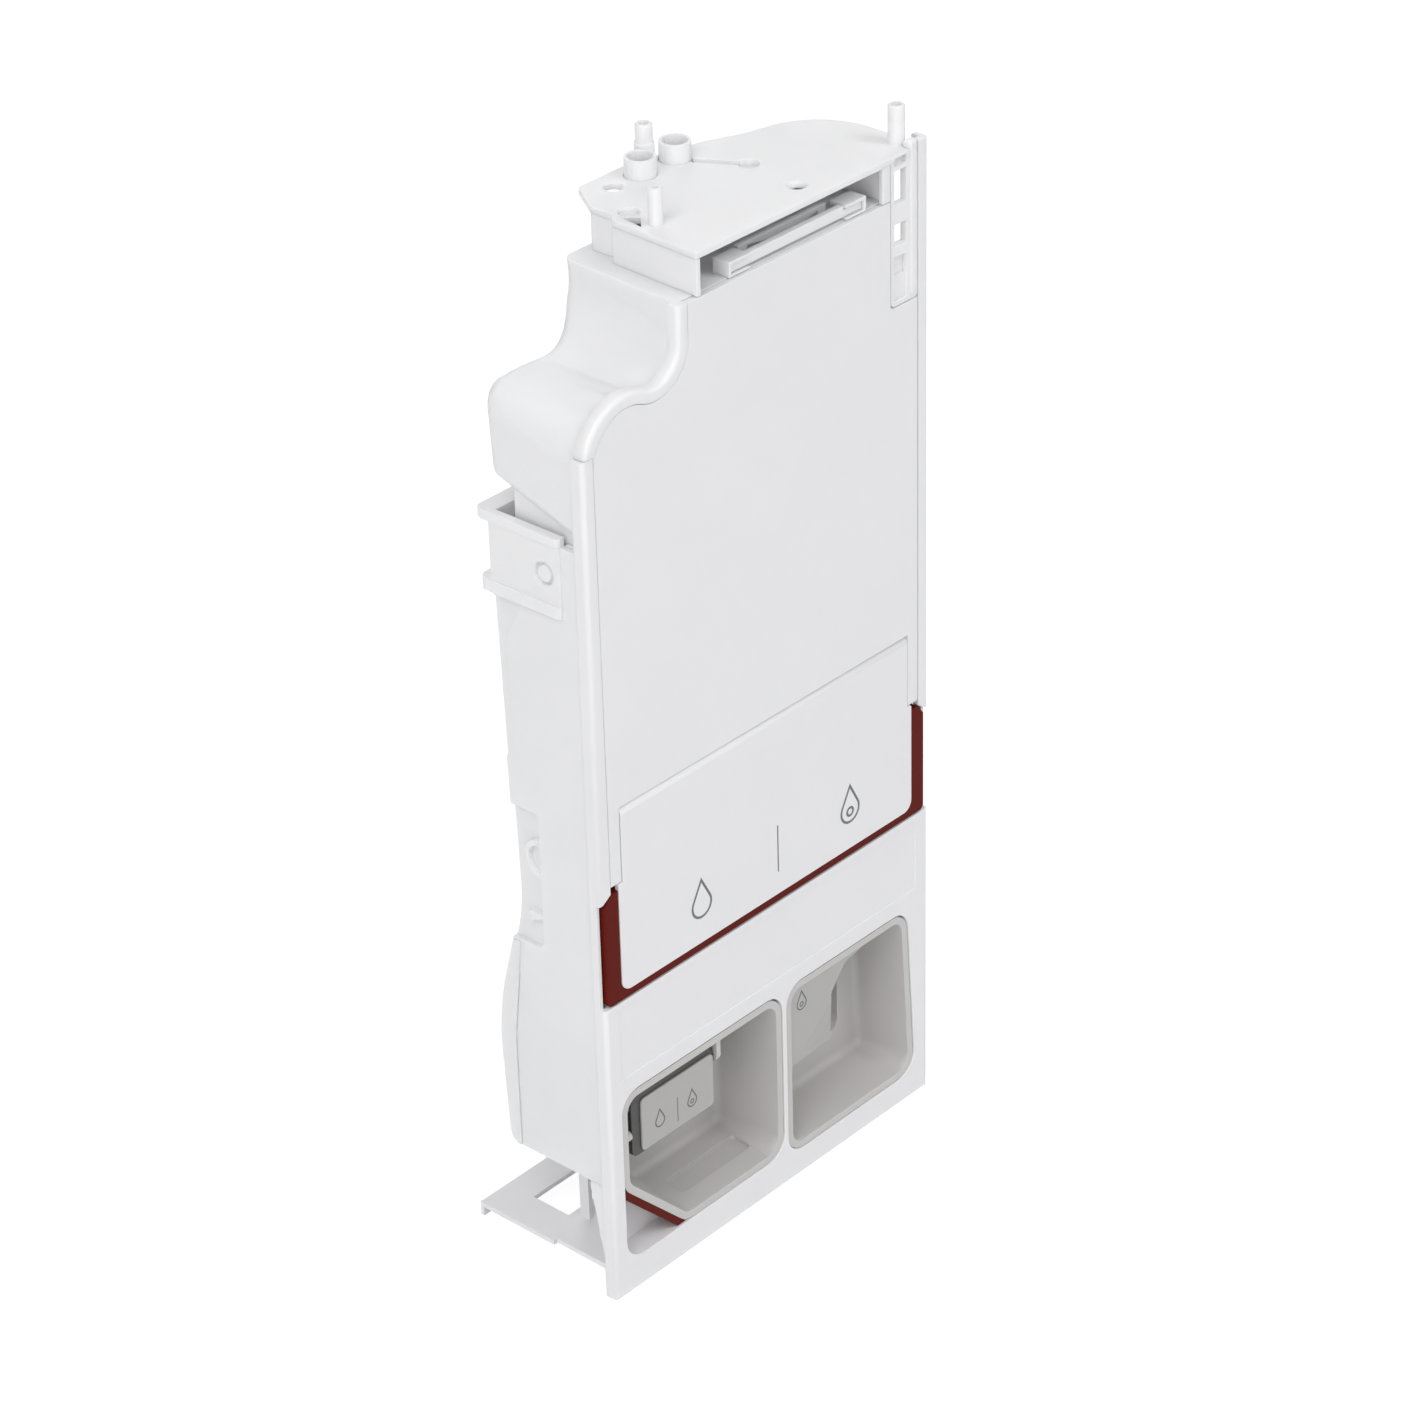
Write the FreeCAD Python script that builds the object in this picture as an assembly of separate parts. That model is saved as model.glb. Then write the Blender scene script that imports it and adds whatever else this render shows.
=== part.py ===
import FreeCAD
import Part
import math
import os

# Detergent dispenser drawer with automatic dosing, standing on its front end.
# X runs across the drawer, Y from the face to the back and Z from the front end to the connector end.
# While it is built, Y is 0 at the face. The finished pieces are shifted to centre the depth.

V = FreeCAD.Vector

# Fits and seams
SEAM = 0.2
COVER_GAP = 0.4
RUN_GAP = 0.4
PIVOT_GAP = 0.05
PAST = 1.0

# Face and side rails
FACE_WIDTH = 180.0
RAIL_FACE = 5.4
RAIL_DEPTH = 6.0
RAIL_SKIN = 2.4
RAIL_EDGE_R = 1.8
RAIL_BACK_R = 1.0
RAIL_WEB = 1.6
LEFT_RAIL_DROP = 39.0
RIGHT_RAIL_RISE = 2.0

# Front of the frame: strip, bezel and foot
FRAME_TOP = 127.8
FRAME_WALL = 2.6
FRAME_TOP_RETURN = 8.0
STRIP_BOTTOM = 95.0
STRIP_MARGIN = 7.2
STRIP_TOP_MARGIN = 1.6
STRIP_SINK = 0.5
BEVEL = 1.6
FOOT_TOP = 11.0
FOOT_THICKNESS = 2.0
FOOT_BACK = 71.0
FOOT_STEP_Y = 33.0
FOOT_STEP = 1.8
FOOT_LIP = 1.6
FOOT_LIP_DROP = 6.0
FOOT_WINDOW_SIDE = 16.5
FOOT_WINDOW_WIDTH = 27.5
FOOT_WINDOW_Y = (39.7, 57.6)
HOOK_X = 20.0
HOOK_WIDTH = 14.0
HOOK_THICKNESS = 4.0
RIB_SIDE = 19.4
RIB_THICKNESS = 2.0
RIB_DEPTH = 4.6

# Pockets of the frame and the two cups
POCKET_TOP = 88.0
POCKET_DEPTH = 10.0
POCKET_LEDGE = 2.0
POCKET_WALL = 2.0
LEFT_POCKET_SIDE = 6.5
POCKET_SPLIT_X = 4.9
LEFT_POCKET_BOTTOM = 14.0
POCKET_WEB = 2.0
RIGHT_POCKET_SIDE = 7.4
RIGHT_POCKET_LEAN = 4.6
RIGHT_POCKET_BOTTOM = 11.0
POCKET_R = 9.0
CUP_GAP = 0.3
CUP_TOP_GAP = 0.9
CUP_FRONT = 0.5
CUP_RIM = 3.0
CUP_WALL = 1.6
CUP_DRAFT = 2.5
LEDGE_GAP = 0.5
CUP_FLOOR_R = 3.0
MANUAL_CUP_FLOOR = 29.5
CUP_CHAMFER = 32.0
CUP_CHAMFER_R = 9.0
GRIP_WIDTH = 3.0
GRIP_DEPTH = 8.0
SLOT_SIDE = 8.9
SLOT_LENGTH = 39.0
SLOT_Y = (9.5, 19.0)
SLOT_SINK = 1.0
SOFTENER_CUP_FLOOR = 24.0
WELL_LEFT = 8.1
WELL_RIGHT = 18.6
WELL_Z = (30.0, 78.0)
WELL_DEPTH = 4.0
WELL_R = 5.0

# Siphon of the softener cup
SIPHON_LEFT = 17.1
SIPHON_Z = 66.0
SIPHON_POST_R = 3.6
SIPHON_POST_BORE = 2.2
SIPHON_POST_TIP = 8.0
SIPHON_SLEEVE_R = 7.0
SIPHON_SLEEVE_WALL = 1.4
SIPHON_NOTCH = 4.0
SIPHON_PLATE_FRONT = 1.3
SIPHON_PLATE = 1.8
SIPHON_PLATE_BOTTOM = 50.0
SIPHON_PLATE_WIDTH = 23.7
SIPHON_PLATE_TOP_WIDTH = 45.0
SIPHON_SWEEP_Z = 71.6
SIPHON_NECK_WIDTH = 31.6
SIPHON_NECK_DROP = 2.6
SIPHON_FOLD_Z = 68.0
SIPHON_FOLD_OUT = 5.0
SIPHON_FOLD_DOWN = 4.3
SIPHON_FOLD_BACK = 5.0

# Flap for liquid detergent in the left cup
LIQUID_LEFT = 8.3
LIQUID_WIDTH = 44.8
LIQUID_Z = (54.6, 81.0)
LIQUID_FRONT = 3.6
LIQUID_THICKNESS = 4.6
LIQUID_R = 3.0
LIQUID_AXIS_Y = 5.6
LIQUID_AXIS_Z = 76.5
LIQUID_PIN_R = 1.5
LIQUID_PIN_REACH = 1.6
LIQUID_EAR = 2.2
LIQUID_EAR_R = 3.4
LIQUID_SIDE_GAP = 0.5
LABEL_THICKNESS = 0.8
LABEL_MARGIN_LEFT = 4.7
LABEL_MARGIN = 1.0
LABEL_MARGIN_TOP = 2.6
NUB_R = 2.0
NUB_Y = 4.2
NUB_Z = 65.5
NUB_REACH = 4.0

# Tray behind the tank
TRAY_FRONT = 13.0
TRAY_SETBACK = 1.5
TRAY_WALL = 2.0
TRAY_BOTTOM = 48.0
TRAY_MOUTH_DROP = 75.0
TRAY_BACK_TOP = 46.7
TRAY_WAIST_Y = 42.0
TRAY_WAIST_Z = 154.0
TRAY_WAIST_R = 70.0
TRAY_BELLY_Y = 55.3
TRAY_BELLY_Z = 104.0
TRAY_BELLY_R = 110.0
TRAY_BACK_BOTTOM = 52.2
TRAY_BOTTOM_R = 5.0
TRAY_BOTTOM_FRONT = 31.8
SEAM_TOP_Z = 140.0
SEAM_TOP_Y = 41.8
SEAM_BELLY = (47.1, 97.0)
SEAM_BELLY_R = 30.0
MOUTH_RIM = 3.4
MOUTH_RIM_OUT = 5.6
COLLAR_DROP = 27.4
COLLAR_HEIGHT = 4.6
COLLAR_OUT = 5.0
SIDE_OUT = 1.5
MOUTH_RIM_R = 4.0
SLEEVE_PAD = 0.8
DETENT_Y = 20.5
DETENT_DROP = 12.0
DETENT_R = 4.5
DETENT_DEPTH = 1.6
DETENT_BOSS_R = 3.0
RELIEF_Y = 41.0
RELIEF_DROP = 16.6
RELIEF_HEIGHT = 43.0
RELIEF_FLARE = 8.0
RELIEF_RISE = 15.0
RELIEF_DEPTH = 0.7
RELIEF_R = 8.0
CATCH_Y = 30.2
CATCH_Z = (141.0, 197.5)
CATCH_DEPTH = 2.2
CATCH_PAD = 1.8
CATCH_R = 4.0
CATCH_BOSS_Z = 178.6
CATCH_BOSS_R = 8.0
CATCH_BOSS_WALL = 2.2
CATCH_RIB_Z = 154.0
CATCH_RIB = 3.0
CATCH_RIB_LENGTH = 6.5
LOWER_PANEL_Z = 111.0
LOWER_PANEL_FALL = 5.0
LOWER_PANEL_RISE = 14.0
LOWER_PANEL_STEP = 0.5
LOWER_PANEL_KNEE_Y = 34.0

# Tank
TANK_BOTTOM = 134.0
TANK_RIM = 5.2
TANK_FLANGE = 5.0
TANK_FLANGE_STEP = 2.6
TANK_WALL = 2.2
TANK_SEAT = 2.6
SHOULDER_R = 17.0
SHOULDER_DROP = 44.2
SHELF_UPPER_STEP = 0.3
SHELF_SIDE = 1.8
SHELF_DROP = 24.2
SHELF_HOLLOW_R = 23.6
SHELF_CORNER_R = 7.0
CREST_ANGLE = 110.0
UPPER_SIDE = 53.8
NOTCH_SIDE = 20.7
NOTCH_DROP = 41.6
TANK_BACK_TOP = 57.5
TANK_BACK_STEP = 55.0
TANK_BACK_STEP_DROP = 17.0
TANK_BACK_SHOULDER = 47.6
TANK_BACK_SHOULDER_DROP = 33.0
TANK_BACK_LOW = 46.0
TANK_BACK_LOW_DROP = 58.5
TANK_BACK_BEND_R = 20.0
TANK_SKIRT_R = 5.0
TANK_SKIRT_DROP = 70.5
TANK_LOWER_DROP = 54.0
TANK_LOWER_BACK = 37.6
TANK_BACK_R = 5.0
TANK_EDGE_R = 1.6
DIVIDER_X = 22.0
DIVIDER = 2.0

# Tank cover with the filling bay
COVER_FRONT = 0.2
COVER_WALL = 2.2
COVER_NOTCH_R = 2.0
BAY_FLOOR = 8.3
BAY_WALL = 2.0
BAY_BOTTOM = 131.8
FILL_Z = (146.0, 186.0)
FILL_DETERGENT_SIDE = 28.0
FILL_DETERGENT_INNER = 16.0
FILL_SOFTENER_SIDE = 24.0
FILL_SOFTENER_INNER = 10.0
FILL_R = 8.0
FILL_COLLAR = 1.6
FILL_COLLAR_FRONT = 5.2

# Filling flap
FLAP_SEAM_Z = 207.0
FLAP_BARREL_R = 3.0
FLAP_PANEL = 2.2
FLAP_BOTTOM = 131.6
FLAP_SIDE = 9.6
FLAP_NECK_STEP = 2.2
FLAP_NECK_Z = 177.0
FLAP_R = 4.5
FLAP_NECK_R = 0.8
FLAP_PIN_R = 1.6
FLAP_PIN_REACH = 3.0
CARRIER = 2.0
CARRIER_FRONT = 0.3
CARRIER_BAND = 3.2
CARRIER_TOP = 194.0
EAR_REACH = 7.4
EAR_DROP = 2.4
EAR_SLANT = 3.4
EAR_SLANT_DROP = 4.2
EAR_WALL = 1.5
EAR_WALL_FRONT = 2.2
FLAP_SEAL = 0.6
FLAP_SEAL_MARGIN = 2.4

# Connector head
HEAD_TOP = 400.0
HEAD_HEIGHT = 16.0
HEAD_PLATE = 2.4
HEAD_WALL = 2.0
HEAD_LEFT_STEP = 4.7
HEAD_JOG_FRONT = (2.5, 40.0)
HEAD_JOG_BACK = (6.1, 43.5)
HEAD_BACK_LEFT = (6.2, 53.5)
HEAD_TAB = (15.5, 67.9)
HEAD_CREST = (8.0, 68.3)
HEAD_FLANK = (40.0, 61.4)
HEAD_DIP = (55.0, 54.6)
HEAD_RIGHT_SIDE = 3.4
HEAD_RIGHT_BACK = 46.8
HEAD_RIGHT_R = 28.0
HEAD_EDGE_R = 19.0
HEAD_RIGHT_STEP_Y = 10.0
HEAD_SKIRT_BACK = 54.5
HEAD_SKIRT_R = 6.0
SLOT_COLUMN = 4.3
REAR_PIN = (14.4, 64.8)
REAR_PIN_R = 3.1
REAR_PIN_HEIGHT = 14.6
LEFT_PIN = (9.5, 26.5)
LEFT_PIN_R = 2.6
LEFT_PIN_HEIGHT = 13.4
RIGHT_PIN_SIDE = 8.8
RIGHT_PIN_Y = 7.3
RIGHT_PIN_R = 3.05
RIGHT_PIN_HEIGHT = 14.6
PIN_SHOULDER = 0.5
PIN_SHOULDER_RISE = 0.6
PIN_CHAMFER = 0.5
PIN_BORE_WALL = 0.8
PIN_BORE_DEPTH = 6.0
SOCKET_X = {"detergent": 5.4, "softener": 23.2}
SOCKET_Y = 58.5
SOCKET_R = 5.75
SOCKET_BORE_R = 4.65
SOCKET_RISE = 7.0
SOCKET_SKIN = 1.2
THROUGH_HOLE = (-8.5, 58.5, 3.6)
SCREW_HOLE = (32.0, 10.5, 2.7, 3.8)
SCREW_SINK = 1.2
CORNER_RECESS = (11.0, 40.1, 4.0)
DISC = (35.6, 35.7, 4.1)
CHANNEL_START = (25.3, 53.5)
CHANNEL_WIDTH = 3.4
CHANNEL_SINK = 1.7
DISC_SINK = 1.9
RECESS_SINK = 1.6
CORNER_NOTCH = ((4.5, 28.6), (9.9, 34.0), (6.1, 38.4))
PORT_X = {"detergent": -6.0, "softener": 35.6}
PORT_Y = 36.0
PORT_R = 3.0
PORT_SEAL_R = 5.0
PORT_SEAL_HEIGHT = 1.4
PORT_BOSS_WALL = 1.6

# Ladder column of the head
LADDER_FRONT = 0.4
LADDER_BACK = 3.2
LADDER_STILE = 1.9
LADDER_RIGHT_STILE = 6.1
LADDER_WINDOW_DROPS = ((34.2, 26.0), (18.7, 5.9))
LADDER_POCKET_DROP = 46.0
LADDER_POCKET_HEIGHT = 7.6
LADDER_POCKET_DEPTH = 1.8
LADDER_FIELD_DEPTH = 0.8
LADDER_CURB = 1.8
LADDER_NOTCH_RISE = 1.4
BEAD_WIDTH = 4.5
BEAD_RISE = 2.6
BEAD_R = 1.4

# Outlet valves
VALVE_CHAMBER_R = 6.3
VALVE_FLOOR = 1.6
VALVE_SEAL_DROP = 4.0
VALVE_SEAL_HEIGHT = 2.0
VALVE_SEAL_WALL = 1.0
VALVE_SEAL_BORE_R = 3.2
POPPET_R = 4.57
POPPET_HEIGHT = 3.0
POPPET_STEM_R = 1.8
POPPET_STEM = 3.0
POPPET_FLUTE_R = 1.2
POPPET_FLUTES = 3
POPPET_NOSE_R = 2.6
POPPET_NOSE = 1.6
VALVE_WIRE = 0.6
VALVE_SPRING_R = 3.2
VALVE_SPRING_TURNS = 4
VALVE_SPRING_SIDES = 12

# Release bar
BAR_LEFT = 19.5
BAR_RIGHT = 13.1
BAR_FRONT = 2.4
BAR_DEPTH = 2.6
BAR_FOOT = 1.2
BAR_HEIGHT = 4.2
BAR_TONGUE = 9.0
BAR_TONGUE_HEIGHT = 2.8
GUIDE_WALL = 1.3
GUIDE_FRONT = 1.5
GUIDE_DEPTH = 7.5
BAR_TRAVEL = 2.5
SPRING_STOP = 2.0
SPRING_STOP_WIDTH = 46.0
LEAF = 0.5
LEAF_HEIGHT = 3.0
LEAF_SPAN = 36.0

# Places worked out from the sizes above
HALF = FACE_WIDTH / 2
TANK_TOP = HEAD_TOP - HEAD_HEIGHT
LEFT_RAIL_TOP = TANK_TOP - LEFT_RAIL_DROP
RIGHT_RAIL_TOP = HEAD_TOP + RIGHT_RAIL_RISE
RAIL_INNER = HALF - RAIL_FACE
COVER_HALF = RAIL_INNER - COVER_GAP
FOOT_WINDOW_X = (HALF - FOOT_WINDOW_SIDE - FOOT_WINDOW_WIDTH, HALF - FOOT_WINDOW_SIDE)
RIB_X = HALF - RIB_SIDE
LEFT_POCKET_X = (LEFT_POCKET_SIDE - HALF, POCKET_SPLIT_X)
CUP_TOP = POCKET_TOP - CUP_TOP_GAP
RIGHT_POCKET_LEFT = POCKET_SPLIT_X + POCKET_WEB
RIGHT_POCKET_X = HALF - RIGHT_POCKET_SIDE
SLOT_X = (POCKET_SPLIT_X - SLOT_SIDE - SLOT_LENGTH, POCKET_SPLIT_X - SLOT_SIDE)
WELL_X = (RIGHT_POCKET_LEFT + WELL_LEFT, RIGHT_POCKET_X - WELL_RIGHT)
SIPHON_X = RIGHT_POCKET_LEFT + SIPHON_LEFT
LIQUID_X = (LEFT_POCKET_X[0] + LIQUID_LEFT, LEFT_POCKET_X[0] + LIQUID_LEFT + LIQUID_WIDTH)
TRAY_MOUTH_Z = TANK_TOP - TRAY_MOUTH_DROP
COLLAR_Z = TRAY_MOUTH_Z - COLLAR_DROP
DETENT_Z = TRAY_MOUTH_Z - DETENT_DROP
RELIEF_Z = (COLLAR_Z - RELIEF_DROP - RELIEF_HEIGHT, COLLAR_Z - RELIEF_DROP)
SHOULDER_Z = TANK_TOP - SHOULDER_DROP
UPPER_LEFT = UPPER_SIDE - HALF
NOTCH_X = HALF - NOTCH_SIDE
NOTCH_Z = TANK_TOP - NOTCH_DROP
TANK_BACK_LOW_Z = TANK_TOP - TANK_BACK_LOW_DROP
TANK_LOWER_TOP = TANK_TOP - TANK_LOWER_DROP
TANK_SKIRT_FRONT_Z = TANK_TOP - TANK_SKIRT_DROP
FILL_DETERGENT_X = (FILL_DETERGENT_SIDE - HALF, DIVIDER_X - FILL_DETERGENT_INNER)
FILL_SOFTENER_X = (DIVIDER_X + FILL_SOFTENER_INNER, HALF - FILL_SOFTENER_SIDE)
FLAP_HALF = HALF - FLAP_SIDE
FLAP_NECK_HALF = FLAP_HALF - FLAP_NECK_STEP
EAR_INNER_Z = FLAP_NECK_Z - EAR_DROP
EAR_OUTER_Z = EAR_INNER_Z - EAR_SLANT_DROP
HEAD_LEFT = UPPER_LEFT + HEAD_LEFT_STEP
HEAD_RIGHT = HALF - HEAD_RIGHT_SIDE
LADDER_BOTTOM = NOTCH_Z + RUN_GAP
VALVE_SEAL_Z = HEAD_TOP - VALVE_SEAL_DROP
BAR_X = (HEAD_LEFT + BAR_LEFT, NOTCH_X - BAR_RIGHT)
TANK_HALF = RAIL_INNER - SEAM
TRAY_HALF = HALF - TRAY_SETBACK
WEB_BACK = TRAY_FRONT
TRAY_WALL_FRONT = RAIL_DEPTH + SEAM
COVER_TOP = TANK_TOP - COVER_GAP
COVER_BACK = COVER_FRONT + COVER_WALL
BAY_TOP = FLAP_SEAM_Z + RUN_GAP
BAY_BACK = BAY_FLOOR + BAY_WALL
FLAP_TOP = FLAP_SEAM_Z
FLAP_AXIS_Y = FLAP_BARREL_R
FLAP_AXIS_Z = FLAP_TOP - FLAP_BARREL_R
CARRIER_BACK = FLAP_PANEL + CARRIER
EAR_HALF = FLAP_HALF + EAR_REACH
EAR_SLANT_X = EAR_HALF - EAR_SLANT
BAND_BOTTOM = FLAP_BOTTOM - CARRIER_BAND
PLATE_BOTTOM = HEAD_TOP - HEAD_PLATE
HEAD_RIGHT_FRONT = RAIL_INNER - SEAM
BAR_BOTTOM = TANK_TOP + BAR_FOOT
VALVE_CHAMBER_BOTTOM = TANK_TOP + SEAM
VALVE_BORE_BOTTOM = VALVE_CHAMBER_BOTTOM + VALVE_FLOOR
SHIFT = V(0, -FOOT_BACK / 2, 0)


def outline(corners):
    """Closed flat wire through corners (u, v, radius), with an arc at each corner that has a radius."""
    count = len(corners)
    points = [V(u, v, 0) for u, v, radius in corners]
    rounds = []
    for index, here in enumerate(points):
        back = (points[index - 1] - here).normalize()
        ahead = (points[(index + 1) % count] - here).normalize()
        radius = corners[index][2]
        half = back.getAngle(ahead) / 2
        middle = (back + ahead).normalize()
        reach = radius / math.tan(half)
        crown = here + middle * (radius / math.sin(half) - radius)
        rounds.append((here + back * reach, crown, here + ahead * reach))
    edges = []
    for index, (start, crown, finish) in enumerate(rounds):
        following = rounds[(index + 1) % count][0]
        if corners[index][2] > 0:
            edges.append(Part.Arc(start, crown, finish).toShape())
        if finish.distanceToPoint(following) > Part.Precision.confusion():
            edges.append(Part.LineSegment(finish, following).toShape())
    return Part.Wire(edges)


def inset(corners, distance):
    """The corners of an anticlockwise outline moved inwards, with their arcs kept concentric."""
    count = len(corners)
    moved = []
    for index, (u, v, radius) in enumerate(corners):
        here = V(u, v, 0)
        before = V(*corners[index - 1][:2], 0)
        after = V(*corners[(index + 1) % count][:2], 0)
        into = (here - before).normalize()
        out = (after - here).normalize()
        normals = V(-into.y, into.x, 0), V(-out.y, out.x, 0)
        shift = (normals[0] + normals[1]) * (distance / (1 + normals[0].dot(normals[1])))
        convex = into.cross(out).z > 0
        rounded = radius - distance if convex else radius + distance
        moved.append((u + shift.x, v + shift.y, max(rounded, 0) if radius else 0))
    return moved


def placed(shape, axis, position):
    """Stand a flat shape at a position on an axis: (u, v) becomes (y, z), (x, z) or (x, y)."""
    frames = {
        "x": (V(0, 1, 0), V(0, 0, 1), V(1, 0, 0)),
        "y": (V(1, 0, 0), V(0, 0, 1), V(0, -1, 0)),
        "z": (V(1, 0, 0), V(0, 1, 0), V(0, 0, 1)),
    }
    places = {"x": V(position, 0, 0), "y": V(0, position, 0), "z": V(0, 0, position)}
    turn = FreeCAD.Rotation(*frames[axis], "ZXY")
    shape.Placement = FreeCAD.Placement(places[axis], turn)
    return shape


def prism(wire, axis, low, high):
    """Solid between two positions on an axis, with a flat wire as its section."""
    solid = Part.Face(wire).extrude(V(0, 0, high - low))
    return placed(solid, axis, high if axis == "y" else low)


def slab(axis, corners, low, high):
    return prism(outline(corners), axis, low, high)


def sharp(points):
    return [(u, v, 0) for u, v in points]


def rectangle(u_low, u_high, v_low, v_high, radius=0):
    return [
        (u_low, v_low, radius),
        (u_high, v_low, radius),
        (u_high, v_high, radius),
        (u_low, v_high, radius),
    ]


def box(x_low, x_high, y_low, y_high, z_low, z_high):
    return Part.makeBox(x_high - x_low, y_high - y_low, z_high - z_low, V(x_low, y_low, z_low))


def rod(axis, radius, low, high, first, second):
    """Round bar along an axis; first and second are its centre on the other two axes, in order."""
    starts = {"x": V(low, first, second), "y": V(first, low, second), "z": V(first, second, low)}
    ways = {"x": V(1, 0, 0), "y": V(0, 1, 0), "z": V(0, 0, 1)}
    return Part.makeCylinder(radius, high - low, starts[axis], ways[axis])


def ring(axis, outer, inner, low, high, first, second):
    return rod(axis, outer, low, high, first, second).cut(rod(axis, inner, low, high, first, second))


def fused(first, *others):
    return first.fuse(list(others)).removeSplitter()


def both_sides(shape):
    """A shape and its mirror image across the drawer's middle."""
    return [shape, shape.mirror(V(0, 0, 0), V(1, 0, 0))]


def tapered(corners, low, high, low_inset, high_inset):
    """Drafted block along Y between two insets of one outline."""
    first = placed(outline(inset(corners, low_inset)), "y", low)
    second = placed(outline(inset(corners, high_inset)), "y", high)
    return Part.makeLoft([first, second], True, True)


def edges_at(shape, axis, position):
    """The edges of a shape that lie in one plane across an axis."""
    index = "xyz".index(axis)
    found = []
    for edge in shape.Edges:
        box_of = edge.BoundBox
        low = (box_of.XMin, box_of.YMin, box_of.ZMin)[index]
        high = (box_of.XMax, box_of.YMax, box_of.ZMax)[index]
        if abs(low - position) < SEAM and abs(high - position) < SEAM:
            found.append(edge)
    return found


def cup_outline(side):
    """Outer edge of a cup's rim, seen from the front."""
    if side == "right":
        return inset(pocket_outline(side, CUP_TOP + CUP_GAP), CUP_GAP)
    left, right = LEFT_POCKET_X[0] + CUP_GAP, LEFT_POCKET_X[1] - CUP_GAP
    bottom, top = LEFT_POCKET_BOTTOM + CUP_GAP, CUP_TOP
    return [
        (left + CUP_CHAMFER, bottom, CUP_CHAMFER_R),
        (right, bottom, POCKET_R),
        (right, top, POCKET_R),
        (left, top, POCKET_R),
        (left, bottom + CUP_CHAMFER, CUP_CHAMFER_R),
    ]


def pocket_outline(side, top=POCKET_TOP):
    """Edge of a pocket in the face of the frame."""
    if side == "left":
        return rectangle(*LEFT_POCKET_X, LEFT_POCKET_BOTTOM, top, POCKET_R)
    return [
        (RIGHT_POCKET_LEFT, RIGHT_POCKET_BOTTOM, POCKET_R),
        (RIGHT_POCKET_X, RIGHT_POCKET_BOTTOM, POCKET_R),
        (RIGHT_POCKET_X - RIGHT_POCKET_LEAN, top, POCKET_R),
        (RIGHT_POCKET_LEFT, top, POCKET_R),
    ]


def lower_panel_step():
    """Shallow step on both outer sides, below the curved line behind the cups."""
    edge = [
        (RAIL_DEPTH, TRAY_BOTTOM - PAST, 0),
        (FOOT_BACK, TRAY_BOTTOM - PAST, 0),
        (FOOT_BACK, LOWER_PANEL_Z + 2 * LOWER_PANEL_RISE, 0),
        (SEAM_TOP_Y, LOWER_PANEL_Z + LOWER_PANEL_RISE, 0),
        (LOWER_PANEL_KNEE_Y, LOWER_PANEL_Z, LOWER_PANEL_RISE / 2),
        (RAIL_DEPTH, LOWER_PANEL_Z - LOWER_PANEL_FALL, 0),
    ]
    return both_sides(slab("x", edge, -HALF, LOWER_PANEL_STEP - TRAY_HALF))


def rail(top):
    """Left-hand side rail, an angle with a rounded outer edge."""
    section = [
        (-HALF, 0, RAIL_EDGE_R),
        (-RAIL_INNER, 0, 0),
        (-RAIL_INNER, RAIL_SKIN, 0),
        (RAIL_SKIN - HALF, RAIL_SKIN, 0),
        (RAIL_SKIN - HALF, RAIL_DEPTH, 0),
        (-HALF, RAIL_DEPTH, RAIL_BACK_R),
    ]
    return slab("z", section, 0, top)


def rail_web():
    """Plate inside the tray's left-hand wall, and the wall that goes on below the tray."""
    front = RAIL_SKIN - SEAM
    inner = TRAY_WALL + SEAM + RAIL_WEB - TRAY_HALF
    tongue = slab("x", rectangle(front, WEB_BACK, FOOT_TOP, TRAY_MOUTH_Z), inner - RAIL_WEB, inner)
    side = [
        (front, 0, 0),
        (RAIL_DEPTH, 0, 0),
        (RAIL_DEPTH, FOOT_TOP, 0),
        (WEB_BACK, TRAY_BOTTOM - SEAM, 0),
        (front, TRAY_BOTTOM - SEAM, 0),
    ]
    wall = slab("x", side, -TRAY_HALF, inner - SEAM)
    return fused(tongue.cut(tongue_relief()), wall)


def tongue_relief():
    """What is cut from the plate inside the tray, so that it tapers like the wall below the tray."""
    edge = sharp([
        (RAIL_DEPTH, FOOT_TOP),
        (FOOT_BACK, FOOT_TOP),
        (FOOT_BACK, TRAY_BOTTOM),
        (WEB_BACK, TRAY_BOTTOM),
    ])
    return slab("x", edge, -HALF, 0)


def ear_gate():
    """Left-hand cut in the rail, where the ear of the flap shows."""
    low = BAND_BOTTOM - RUN_GAP
    slant = [
        (-HALF - PAST, low),
        (-RAIL_INNER + PAST, low),
        (-RAIL_INNER + PAST, EAR_INNER_Z + RUN_GAP),
        (-EAR_SLANT_X, EAR_INNER_Z + RUN_GAP),
        (-HALF - PAST, EAR_OUTER_Z + RUN_GAP),
    ]
    deep = slab("y", sharp(slant), -PAST, RAIL_DEPTH)
    wall = box(-HALF - PAST, EAR_WALL - HALF, EAR_WALL_FRONT, RAIL_DEPTH + PAST, low - PAST, LEFT_RAIL_TOP)
    return deep.cut(wall)


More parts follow.
